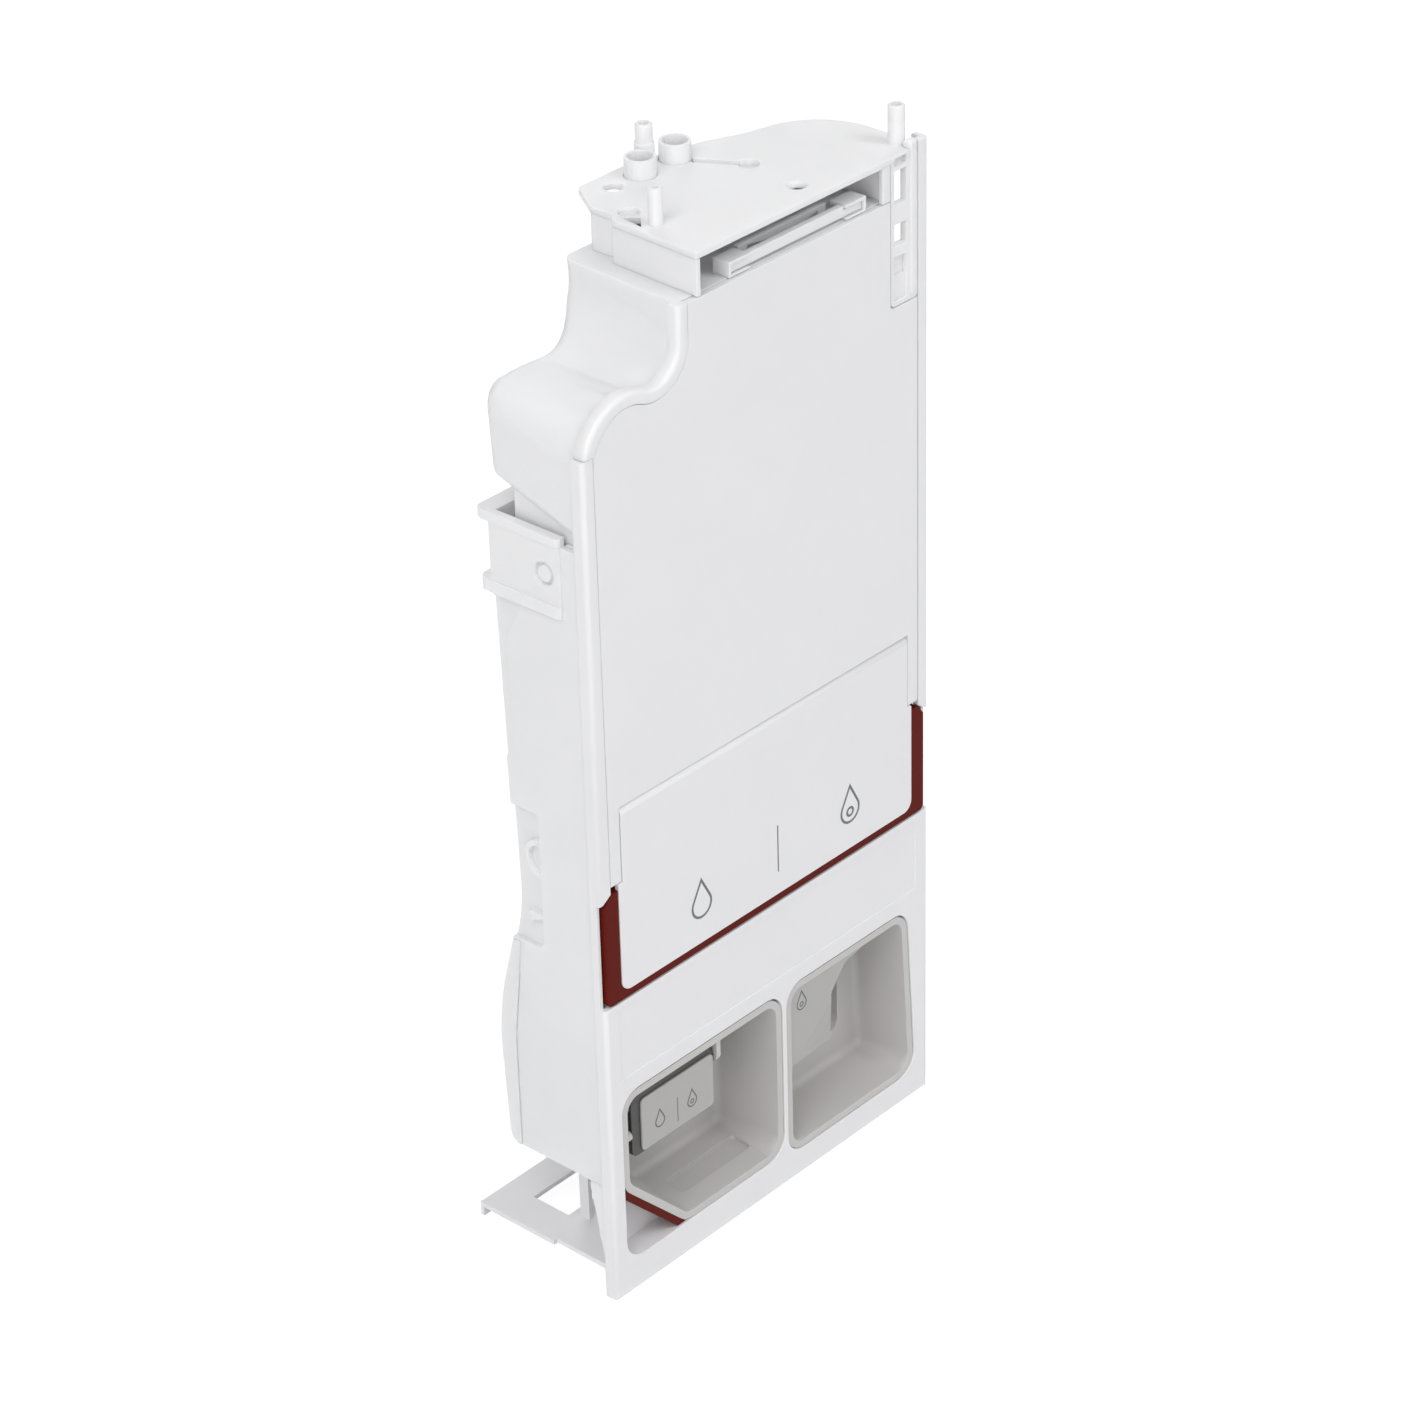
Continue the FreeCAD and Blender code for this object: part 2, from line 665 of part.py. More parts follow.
def foot():
    """Front wall of the drawer, on which the machine's fascia hooks."""
    low = FOOT_TOP - FOOT_THICKNESS
    plate = box(-TRAY_HALF, TRAY_HALF, FRAME_WALL - SEAM, FOOT_BACK, low, FOOT_TOP)
    step = box(-HALF, FOOT_STEP - TRAY_HALF, 0, FOOT_STEP_Y, low - PAST, FOOT_TOP + PAST)
    window = box(*FOOT_WINDOW_X, *FOOT_WINDOW_Y, low - PAST, FOOT_TOP + PAST)
    plate = plate.cut(both_sides(step) + both_sides(window))
    lip = box(-TRAY_HALF, TRAY_HALF, FOOT_BACK - FOOT_LIP, FOOT_BACK, FOOT_TOP - FOOT_LIP_DROP, FOOT_TOP)
    hook_left = HOOK_X - HOOK_WIDTH / 2
    hook = box(hook_left, hook_left + HOOK_WIDTH, FOOT_BACK - HOOK_THICKNESS, FOOT_BACK, 0, FOOT_TOP)
    rib_front = TRAY_BOTTOM_FRONT - SEAM
    rib = box(RIB_X - RIB_THICKNESS, RIB_X, rib_front, rib_front + RIB_DEPTH, low, TRAY_BOTTOM)
    return fused(plate, lip, *both_sides(hook), *both_sides(rib))


def drawer_frame():
    front = box(-RAIL_INNER, RAIL_INNER, 0, FRAME_WALL, 0, FRAME_TOP)
    strip_half = HALF - STRIP_MARGIN
    strip_top = FRAME_TOP - STRIP_TOP_MARGIN
    strip = box(-strip_half, strip_half, -PAST, STRIP_SINK, STRIP_BOTTOM, strip_top)
    front = front.cut(strip)
    top_return = box(-RAIL_INNER, RAIL_INNER, 0, FRAME_TOP_RETURN, FRAME_TOP - FRAME_WALL, FRAME_TOP)
    left = fused(rail(LEFT_RAIL_TOP), rail_web())
    right_bar = rail(RIGHT_RAIL_TOP)
    top_edges = [edge for edge in edges_at(right_bar, "z", RIGHT_RAIL_TOP) if edge.BoundBox.YMax < SEAM]
    right_bar = right_bar.makeFillet(RAIL_EDGE_R / 2, top_edges)
    right = fused(right_bar, rail_web()).mirror(V(0, 0, 0), V(1, 0, 0))
    walls = [
        slab("y", inset(pocket_outline(side), -POCKET_WALL), 0, POCKET_DEPTH + POCKET_LEDGE)
        for side in ("left", "right")
    ]
    frame = fused(front, top_return, left, right, foot(), *walls)
    for side in ("left", "right"):
        mouth = slab("y", pocket_outline(side), -PAST, POCKET_DEPTH)
        bowl_way = inset(cup_outline(side), CUP_RIM - CUP_WALL - LEDGE_GAP)
        frame = frame.cut([mouth, slab("y", bowl_way, 0, POCKET_DEPTH + POCKET_LEDGE + PAST)])
    bevel = sharp([(-PAST, -PAST), (BEVEL, -PAST), (-PAST, BEVEL)])
    cuts = both_sides(ear_gate()) + lower_panel_step() + [slab("x", bevel, -HALF - PAST, HALF + PAST)]
    return frame.cut(cuts)


def cup(side, floor):
    """Drafted cup with a thick rim that sits on the ledge of its pocket."""
    edge = cup_outline(side)
    rim = slab("y", edge, CUP_FRONT, POCKET_DEPTH)
    outer_inset = CUP_RIM - CUP_WALL
    bowl = tapered(edge, POCKET_DEPTH - SEAM, floor + CUP_WALL, outer_inset, outer_inset + CUP_DRAFT)
    hollow = tapered(edge, CUP_FRONT - SEAM, floor, CUP_RIM, CUP_RIM + CUP_DRAFT)
    hollow = hollow.makeFillet(CUP_FLOOR_R, edges_at(hollow, "y", floor))
    return fused(rim, bowl).cut(hollow)


def manual_cup():
    body = cup("left", MANUAL_CUP_FLOOR)
    left = LEFT_POCKET_X[0] + CUP_GAP + CUP_RIM
    nub = rod("x", NUB_R, left - CUP_RIM / 2, left + NUB_REACH, NUB_Y, NUB_Z)
    ear_low = LIQUID_X[1] + LIQUID_SIDE_GAP
    ear_top = CUP_TOP - CUP_RIM / 2
    ear = rod("x", LIQUID_EAR_R, ear_low, ear_low + LIQUID_EAR, LIQUID_AXIS_Y, LIQUID_AXIS_Z)
    neck_low = LIQUID_AXIS_Y - LIQUID_EAR_R
    neck = box(ear_low, ear_low + LIQUID_EAR, neck_low, neck_low + 2 * LIQUID_EAR_R, LIQUID_AXIS_Z, ear_top)
    body = fused(body, nub, ear, neck)
    pin_way = LIQUID_PIN_R + PIVOT_GAP
    holes = [
        rod("x", pin_way, left - LIQUID_PIN_REACH - RUN_GAP, left + PAST, LIQUID_AXIS_Y, LIQUID_AXIS_Z),
        rod("x", pin_way, ear_low - PAST, ear_low + LIQUID_EAR + PAST, LIQUID_AXIS_Y, LIQUID_AXIS_Z),
    ]
    wall_draft = CUP_DRAFT * (SLOT_Y[0] - CUP_FRONT) / (MANUAL_CUP_FLOOR - CUP_FRONT)
    wall_z = LEFT_POCKET_BOTTOM + CUP_GAP + CUP_RIM + wall_draft
    recess = box(*SLOT_X, *SLOT_Y, wall_z - SLOT_SINK, wall_z + CUP_RIM)
    uprights = [edge for edge in recess.Edges if edge.Vertexes[0].Z != edge.Vertexes[1].Z]
    recess = recess.makeFillet(SLOT_SINK * 2, uprights)
    return body.cut(holes + [recess])


def cup_grip():
    """Grip strip along the chamfered corner of the left cup."""
    edge = cup_outline("left")
    outer = edge[0][:2], edge[4][:2]
    grown = inset(edge, -GRIP_WIDTH)
    strip = [outer[0], outer[1], grown[4][:2], grown[0][:2]]
    body = slab("y", sharp(strip), CUP_FRONT + SEAM, CUP_FRONT + SEAM + GRIP_DEPTH)
    body = body.cut(slab("y", edge, -PAST, POCKET_DEPTH))
    inside = slab("y", inset(pocket_outline("left"), CUP_GAP), -PAST, POCKET_DEPTH)
    return body.common(inside)


def liquid_flap():
    front, back = LIQUID_FRONT, LIQUID_FRONT + LIQUID_THICKNESS
    plate = slab("y", rectangle(*LIQUID_X, *LIQUID_Z, LIQUID_R), front, back)
    left_wall = LEFT_POCKET_X[0] + CUP_GAP + CUP_RIM
    ear_high = LIQUID_X[1] + LIQUID_SIDE_GAP + LIQUID_EAR
    pin = rod("x", LIQUID_PIN_R, left_wall - LIQUID_PIN_REACH, ear_high, LIQUID_AXIS_Y, LIQUID_AXIS_Z)
    return fused(plate, pin)


def liquid_flap_label():
    edge = rectangle(
        LIQUID_X[0] + LABEL_MARGIN_LEFT,
        LIQUID_X[1] - LABEL_MARGIN,
        LIQUID_Z[0] + LABEL_MARGIN,
        LIQUID_Z[1] - LABEL_MARGIN_TOP,
        LIQUID_R - LABEL_MARGIN,
    )
    return slab("y", edge, LIQUID_FRONT - LABEL_THICKNESS, LIQUID_FRONT)


def softener_cup():
    body = cup("right", SOFTENER_CUP_FLOOR)
    well_floor = SOFTENER_CUP_FLOOR + WELL_DEPTH
    well = rectangle(*WELL_X, *WELL_Z, WELL_R)
    sump = slab("y", inset(well, -CUP_WALL), SOFTENER_CUP_FLOOR, well_floor + CUP_WALL)
    body = fused(body, sump)
    body = body.cut(slab("y", well, SOFTENER_CUP_FLOOR - PAST, well_floor))
    end = well_floor + CUP_WALL
    post = rod("y", SIPHON_POST_R, SIPHON_POST_TIP, end, SIPHON_X, SIPHON_Z)
    bore = rod("y", SIPHON_POST_BORE, SIPHON_POST_TIP - PAST, end + PAST, SIPHON_X, SIPHON_Z)
    return fused(body, post).cut(bore)


def siphon_fold(left, right):
    """Corner of the siphon cover's plate that is folded back towards the bowl."""
    front = SIPHON_PLATE_FRONT
    corners = [
        V(left, front, SIPHON_PLATE_BOTTOM),
        V(right, front, SIPHON_FOLD_Z),
        V(right + SIPHON_FOLD_OUT, front + SIPHON_FOLD_BACK, SIPHON_PLATE_BOTTOM - SIPHON_FOLD_DOWN),
    ]
    face = Part.Face(Part.makePolygon(corners + corners[:1]))
    return face.extrude(V(0, SIPHON_PLATE, 0))


def siphon_cover():
    """Cover plate with a sweeping edge and a sleeve that stands over the siphon post."""
    left = RIGHT_POCKET_LEFT + CUP_GAP + CUP_RIM + CUP_GAP
    right = left + SIPHON_PLATE_WIDTH
    top = CUP_TOP - CUP_RIM - CUP_GAP
    edge = [
        (left, SIPHON_PLATE_BOTTOM, 0),
        (right, SIPHON_FOLD_Z, 0),
        (right, SIPHON_SWEEP_Z, SIPHON_SLEEVE_R / 2),
        (left + SIPHON_NECK_WIDTH, top - SIPHON_NECK_DROP, SIPHON_SLEEVE_R / 2),
        (left + SIPHON_PLATE_TOP_WIDTH, top, 0),
        (left, top, POCKET_R - CUP_RIM),
    ]
    back = SIPHON_PLATE_FRONT + SIPHON_PLATE
    plate = slab("y", edge, SIPHON_PLATE_FRONT, back)
    end = SOFTENER_CUP_FLOOR + WELL_DEPTH
    inner = SIPHON_SLEEVE_R - SIPHON_SLEEVE_WALL
    sleeve = ring("y", SIPHON_SLEEVE_R, inner, back - SEAM, end, SIPHON_X, SIPHON_Z)
    reach = SIPHON_SLEEVE_R + PAST
    half = SIPHON_NOTCH / 2
    low, high = SIPHON_Z - reach, SIPHON_Z + reach
    notch = box(SIPHON_X - half, SIPHON_X + half, end - SIPHON_NOTCH, end + PAST, low, high)
    return fused(plate, siphon_fold(left, right), sleeve.cut(notch))


def tray_side():
    """Side outline of the tray, from the mouth down along the back and the seam of the rear cover."""
    return [
        (TRAY_WALL_FRONT, TRAY_BOTTOM, 0),
        (SEAM_BELLY[0], TRAY_BOTTOM, 0),
        (*SEAM_BELLY, SEAM_BELLY_R),
        (SEAM_TOP_Y, SEAM_TOP_Z, 0),
        (back_at(SEAM_TOP_Z), SEAM_TOP_Z, 0),
        (TRAY_WAIST_Y, TRAY_WAIST_Z, TRAY_WAIST_R),
        (TRAY_BACK_TOP, TRAY_MOUTH_Z + MOUTH_RIM, 0),
        (TRAY_FRONT, TRAY_MOUTH_Z + MOUTH_RIM, 0),
        (TRAY_FRONT, TRAY_MOUTH_Z, 0),
        (TRAY_WALL_FRONT, TRAY_MOUTH_Z, 0),
    ]


def back_at(height):
    """Depth of the back between the waist and the belly of the tray."""
    share = (TRAY_WAIST_Z - height) / (TRAY_WAIST_Z - TRAY_BELLY_Z)
    return TRAY_WAIST_Y + share * (TRAY_BELLY_Y - TRAY_WAIST_Y)


def rim_outline(side, back):
    """Outline of the mouth's rim or of the collar below it, with round back corners."""
    front = TRAY_FRONT + SEAM
    return [
        (-side, front, SIDE_OUT),
        (side, front, SIDE_OUT),
        (side, back, MOUTH_RIM_R),
        (-side, back, MOUTH_RIM_R),
    ]


def tray_shell():
    shell = slab("x", tray_side(), -TRAY_HALF, TRAY_HALF)
    sleeve_half = TRAY_HALF + SLEEVE_PAD
    sleeve = box(
        -sleeve_half, sleeve_half, TRAY_FRONT, TRAY_BACK_TOP - SLEEVE_PAD, COLLAR_Z, TRAY_MOUTH_Z + SEAM
    )
    side = TRAY_HALF + SIDE_OUT
    rim_back = TRAY_BACK_TOP + MOUTH_RIM_OUT
    rim = slab("z", rim_outline(side, rim_back), TRAY_MOUTH_Z, TRAY_MOUTH_Z + MOUTH_RIM)
    collar = slab("z", rim_outline(side, TRAY_BACK_TOP + COLLAR_OUT), COLLAR_Z, COLLAR_Z + COLLAR_HEIGHT)
    pad_low = CATCH_Z[0] - CATCH_R
    pad_high = CATCH_Z[1] + CATCH_R
    shell = fused(shell, sleeve, rim, collar)
    hollow_side = [
        (0, TRAY_BOTTOM + TRAY_WALL, 0),
        (FOOT_BACK, TRAY_BOTTOM + TRAY_WALL, 0),
        (FOOT_BACK, SEAM_TOP_Z - TRAY_WALL - SEAM, 0),
        (back_at(SEAM_TOP_Z) - TRAY_WALL, SEAM_TOP_Z, 0),
        (TRAY_WAIST_Y - TRAY_WALL, TRAY_WAIST_Z, TRAY_WAIST_R),
        (TRAY_BACK_TOP - TRAY_WALL, TRAY_MOUTH_Z + MOUTH_RIM, 0),
        (TRAY_BACK_TOP - TRAY_WALL, HEAD_TOP, 0),
        (0, HEAD_TOP, 0),
    ]
    inner = TRAY_HALF - TRAY_WALL
    hollow = slab("x", hollow_side, -inner, inner)
    pad = box(-inner - SEAM, CATCH_PAD - inner, CATCH_Y - CATCH_R, FOOT_BACK, pad_low, pad_high)
    hollow = hollow.cut(both_sides(pad))
    front_way = box(-inner, inner, 0, TRAY_BOTTOM_FRONT, 0, TRAY_BOTTOM + TRAY_WALL + SEAM)
    return shell.cut([hollow, front_way] + tray_side_cuts()).fuse(catch_features()).removeSplitter()


def tray_side_cuts():
    """Detents, reliefs and catch recesses, the same on both sides of the tray."""
    face = -TRAY_HALF
    pad_face = face - SLEEVE_PAD
    detent = ring("x", DETENT_R, DETENT_BOSS_R, pad_face - PAST, pad_face + DETENT_DEPTH, DETENT_Y, DETENT_Z)
    relief_edge = [
        (RELIEF_Y, RELIEF_Z[0], RELIEF_R),
        (RELIEF_Y + RELIEF_FLARE, RELIEF_Z[0] - RELIEF_RISE, 0),
        (RELIEF_Y + RELIEF_FLARE, RELIEF_Z[1] + RELIEF_RISE, 0),
        (RELIEF_Y - RELIEF_FLARE, RELIEF_Z[1] + RELIEF_RISE, 0),
        (RELIEF_Y, RELIEF_Z[1], RELIEF_R),
    ]
    relief = slab("x", relief_edge, face - PAST, face + RELIEF_DEPTH)
    catch_edge = [
        (CATCH_Y, CATCH_Z[0], CATCH_R),
        (FOOT_BACK, CATCH_Z[0], 0),
        (FOOT_BACK, CATCH_Z[1], 0),
        (CATCH_Y, CATCH_Z[1], 0),
    ]
    catch = slab("x", catch_edge, face - PAST, face + CATCH_DEPTH)
    cuts = []
    for shape in (detent, relief, catch):
        cuts += both_sides(shape)
    return cuts + lower_panel_step()


def catch_features():
    """Round boss and stop rib that stand in each catch recess."""
    low, high = -TRAY_HALF, CATCH_DEPTH + SEAM - TRAY_HALF
    boss = ring("x", CATCH_BOSS_R, CATCH_BOSS_R - CATCH_BOSS_WALL, low, high, CATCH_Y, CATCH_BOSS_Z)
    rib_edge = sharp([
        (CATCH_Y - SEAM, CATCH_RIB_Z),
        (CATCH_Y + CATCH_RIB_LENGTH, CATCH_RIB_Z - CATCH_RIB),
        (CATCH_Y + CATCH_RIB_LENGTH, CATCH_RIB_Z + CATCH_RIB / 2),
        (CATCH_Y - SEAM, CATCH_RIB_Z + CATCH_RIB / 2),
    ])
    rib = slab("x", rib_edge, low, high)
    room = box(-HALF, 0, CATCH_Y - SEAM, FOOT_BACK, *CATCH_Z)
    pieces = []
    for shape in (boss.common(room), rib):
        pieces += both_sides(shape)
    return pieces


def tray_rear_cover():
    """Shallow pan that closes the back of the tray behind the cups."""
    def section(step):
        return [
            (SEAM_BELLY[0] + SEAM, TRAY_BOTTOM + step, 0),
            (TRAY_BACK_BOTTOM - step, TRAY_BOTTOM + step, TRAY_BOTTOM_R),
            (TRAY_BELLY_Y - step, TRAY_BELLY_Z, TRAY_BELLY_R),
            (back_at(SEAM_TOP_Z) - step, SEAM_TOP_Z - SEAM - step, 0),
            (SEAM_TOP_Y + SEAM, SEAM_TOP_Z - SEAM - step, 0),
            (SEAM_BELLY[0] + SEAM, SEAM_BELLY[1], SEAM_BELLY_R),
        ]
    pan = slab("x", section(0), -TRAY_HALF, TRAY_HALF)
    inner = TRAY_HALF - TRAY_WALL
    room = slab("x", section(TRAY_WALL), -inner, inner)
    open_front = sharp([
        (SEAM_TOP_Y - PAST, TRAY_BOTTOM + TRAY_WALL),
        (SEAM_BELLY[0] + 2 * SEAM, TRAY_BOTTOM + TRAY_WALL),
        (SEAM_BELLY[0] + 2 * SEAM, SEAM_BELLY[1]),
        (SEAM_TOP_Y + 2 * SEAM, SEAM_TOP_Z - TRAY_WALL),
        (SEAM_TOP_Y - PAST, SEAM_TOP_Z - TRAY_WALL),
    ])
    return pan.cut([room, slab("x", open_front, -inner, inner)])


def turned(centre, radius, angle):
    """Point on a circle of the face's plane, at an angle in degrees."""
    return centre + V(math.cos(math.radians(angle)), math.sin(math.radians(angle)), 0) * radius


def arc(centre, radius, start, end):
    ends = turned(centre, radius, start), turned(centre, radius, end)
    return Part.Arc(ends[0], turned(centre, radius, (start + end) / 2), ends[1]).toShape()


def closed_right(start, end, right, bottom, top):
    """Lines from the shoulder's foot round the right of the tank and down to the shoulder's head."""
    points = [
        start,
        V(start.x, bottom, 0),
        V(right, bottom, 0),
        V(right, NOTCH_Z, 0),
        V(NOTCH_X, NOTCH_Z, 0),
        V(NOTCH_X, top, 0),
        V(end.x, top, 0),
        end,
    ]
    return [Part.LineSegment(a, b).toShape() for a, b in zip(points, points[1:])]


def shouldered(grow, bottom, top):
    """Outline of the tank's front or its cover, with the S-shaped shoulder; grow moves its left side out."""
    low_centre = V(SHOULDER_R - COVER_HALF, SHOULDER_Z, 0)
    across = UPPER_LEFT - SHOULDER_R - low_centre.x
    high_centre = low_centre + V(across, math.sqrt(4 * SHOULDER_R ** 2 - across ** 2), 0)
    small, large = SHOULDER_R - grow, SHOULDER_R + grow
    slant = math.degrees(math.atan2(high_centre.y - low_centre.y, across))
    right = COVER_HALF + min(grow, COVER_GAP - SEAM)
    ends = turned(low_centre, large, 180), turned(high_centre, small, 360)
    edges = closed_right(*ends, right, bottom, top)
    edges.append(arc(high_centre, small, 360, 180 + slant))
    edges.append(arc(low_centre, large, slant, CREST_ANGLE))
    edges.append(arc(low_centre, large, CREST_ANGLE, 180))
    return Part.Wire(edges)


def shelved(step):
    """Outline of the tank's back, where the shoulder has flattened to a shelf; step moves it inwards."""
    upper = UPPER_LEFT - SHELF_UPPER_STEP + step
    left = SHELF_SIDE - HALF + step
    shelf = TANK_TOP - SHELF_DROP - step
    hollow_r, corner_r = SHELF_HOLLOW_R + step, SHELF_CORNER_R - step
    hollow_centre = V(upper - hollow_r, shelf + hollow_r, 0)
    corner_centre = V(left + corner_r, shelf - corner_r, 0)
    right = COVER_HALF + COVER_GAP - SEAM
    ends = turned(corner_centre, corner_r, 180), turned(hollow_centre, hollow_r, 360)
    edges = closed_right(*ends, right, TANK_BOTTOM, TANK_TOP - step)
    edges.append(arc(hollow_centre, hollow_r, 360, 270))
    crest = turned(corner_centre, corner_r, 90)
    edges.append(Part.LineSegment(turned(hollow_centre, hollow_r, 270), crest).toShape())
    edges.append(arc(corner_centre, corner_r, 90, 180))
    return Part.Wire(edges)


def tank_side():
    """Side outline of the tank above the tray."""
    return [
        (0, TANK_SKIRT_FRONT_Z, 0),
        (TRAY_FRONT, TANK_SKIRT_FRONT_Z, 0),
        (TANK_BACK_LOW, TANK_BACK_LOW_Z, TANK_SKIRT_R),
        (TANK_BACK_SHOULDER, TANK_TOP - TANK_BACK_SHOULDER_DROP, TANK_BACK_BEND_R),
        (TANK_BACK_STEP, TANK_TOP - TANK_BACK_STEP_DROP, TANK_BACK_BEND_R),
        (TANK_BACK_TOP, TANK_TOP, 0),
        (0, TANK_TOP, 0),
    ]


def tank_upper(step):
    """Upper part of the tank with the S-shaped shoulder, moved inwards by a step for its hollow."""
    grow = TANK_RIM - TANK_FLANGE_STEP - step
    front = placed(shouldered(grow, TANK_BOTTOM, TANK_TOP - step), "y", 0)
    back = placed(shelved(step), "y", TANK_BACK_TOP + SEAM)
    block = Part.makeLoft([front, back], True, True)
    side = slab("x", inset(tank_side(), step), -HALF, TANK_HALF - step)
    notch = box(NOTCH_X - step, HALF, 0, FOOT_BACK, NOTCH_Z - step, HEAD_TOP)
    return block.common(side).cut(notch)


def shoulder_edges(body):
    """The edges along the left side and the shoulder of the tank."""
    found = []
    for edge in body.Edges:
        middle = edge.valueAt((edge.FirstParameter + edge.LastParameter) / 2)
        if middle.x < UPPER_LEFT and TANK_BACK_LOW_Z < middle.z < TANK_TOP:
            found.append(edge)
    return found


def softened_tank():
    """Upper part of the tank with a flange at the front, rounded along the shoulder at front and back."""
    body = tank_upper(0)
    back = [edge for edge in shoulder_edges(body) if edge.BoundBox.YMin > TANK_LOWER_BACK]
    flange = prism(shouldered(TANK_RIM, TANK_SKIRT_FRONT_Z, TANK_TOP), "y", 0, TANK_FLANGE)
    body = fused(body.makeFillet(TANK_BACK_R, back), flange)
    rim = [edge for edge in shoulder_edges(body) if edge.BoundBox.YMax < SEAM]
    return body.makeFillet(TANK_EDGE_R, rim)


def tank_body():
    lower = box(-TANK_HALF, TANK_HALF, TANK_SEAT, TANK_LOWER_BACK, TANK_BOTTOM, TANK_LOWER_TOP)
    body = fused(softened_tank(), lower)
    inner = TANK_HALF - TANK_WALL
    hollow_lower = box(
        -inner, inner, TANK_SEAT - PAST, TANK_LOWER_BACK - TANK_WALL, TANK_BOTTOM + TANK_WALL, TANK_LOWER_TOP
    )
    lip_back = RAIL_DEPTH + TANK_WALL
    hollow_upper = tank_upper(TANK_WALL).cut(box(-HALF, HALF, 0, lip_back, 0, HEAD_TOP))
    mouth = prism(shouldered(-TANK_WALL, BAY_TOP, TANK_TOP - TANK_WALL), "y", 0, lip_back + PAST)
    mouth = mouth.cut(box(NOTCH_X - TANK_WALL, HALF, 0, FOOT_BACK, NOTCH_Z - TANK_WALL, TANK_TOP))
    divider = box(DIVIDER_X - DIVIDER / 2, DIVIDER_X + DIVIDER / 2, 0, FOOT_BACK, 0, TANK_TOP)
    hollow = fused(hollow_upper, hollow_lower, mouth).cut(divider)
    seat = prism(shouldered(COVER_GAP, BAY_TOP, HEAD_TOP), "y", -PAST, TANK_SEAT)
    bay = box(-HALF, HALF, -PAST, BAY_BACK + SEAM, 0, BAY_TOP + BAY_WALL + SEAM)
    rail_room = box(-HALF - PAST, SEAM - RAIL_INNER, -PAST, RAIL_DEPTH + SEAM, 0, LEFT_RAIL_TOP + SEAM)
    cuts = [hollow, seat, bay, rail_room]
    for x in PORT_X.values():
        cuts.append(rod("z", PORT_R, TANK_TOP - TANK_WALL - PAST, TANK_TOP + PAST, x, PORT_Y))
    return body.cut(cuts)


def bar_guides():
    """Two C-shaped guides for the release bar and the stop of its spring, on top of the tank."""
    low, high = BAR_BOTTOM - RUN_GAP, BAR_BOTTOM + BAR_TONGUE_HEIGHT + RUN_GAP
    back = GUIDE_FRONT + GUIDE_DEPTH
    guides = []
    for end, way in ((BAR_X[0], -1), (BAR_X[1], 1)):
        outer = end + way * (RUN_GAP + GUIDE_WALL)
        inner = end - way * BAR_TONGUE
        block = box(min(outer, inner), max(outer, inner), GUIDE_FRONT, back, TANK_TOP, high + GUIDE_WALL)
        room_end = end + way * RUN_GAP
        room = box(min(room_end, inner - way), max(room_end, inner - way), 0, back + PAST, low, high)
        guides.append(block.cut(room))
    middle = (BAR_X[0] + BAR_X[1]) / 2
    half = SPRING_STOP_WIDTH / 2
    front = spring_back()
    stop = box(middle - half, middle + half, front, front + SPRING_STOP, TANK_TOP, BAR_BOTTOM + BAR_HEIGHT)
    return Part.makeCompound(guides + [stop])


def spring_back():
    """Depth of the face that the release bar's leaf spring rests on."""
    return BAR_FRONT + BAR_DEPTH + BAR_TRAVEL + 2 * LEAF + RUN_GAP


def release_bar():
    low, back = BAR_BOTTOM, BAR_FRONT + BAR_DEPTH
    shoulder = BAR_TONGUE + RUN_GAP
    tongue = box(*BAR_X, BAR_FRONT, back, low, low + BAR_TONGUE_HEIGHT)
    bar = box(BAR_X[0] + shoulder, BAR_X[1] - shoulder, BAR_FRONT, back, low, low + BAR_HEIGHT)
    return fused(tongue, bar)


def release_spring():
    """Bowed leaf between the release bar and its stop."""
    middle = (BAR_X[0] + BAR_X[1]) / 2
    back = spring_back() - SEAM / 2
    front = BAR_FRONT + BAR_DEPTH + SEAM / 2
    half = LEAF_SPAN / 2
    outer = Part.Arc(V(middle - half, back, 0), V(middle, front, 0), V(middle + half, back, 0)).toShape()
    inner_half = half - 2 * LEAF
    inner = Part.Arc(
        V(middle + inner_half, back, 0), V(middle, front + LEAF, 0), V(middle - inner_half, back, 0)
    ).toShape()
    ends = [
        Part.LineSegment(V(middle + half, back, 0), V(middle + inner_half, back, 0)).toShape(),
        Part.LineSegment(V(middle - inner_half, back, 0), V(middle - half, back, 0)).toShape(),
    ]
    low = BAR_BOTTOM
    return prism(Part.Wire([outer, ends[0], inner, ends[1]]), "z", low, low + LEAF_HEIGHT)


def fill_openings():
    return [rectangle(*FILL_DETERGENT_X, *FILL_Z, FILL_R), rectangle(*FILL_SOFTENER_X, *FILL_Z, FILL_R)]


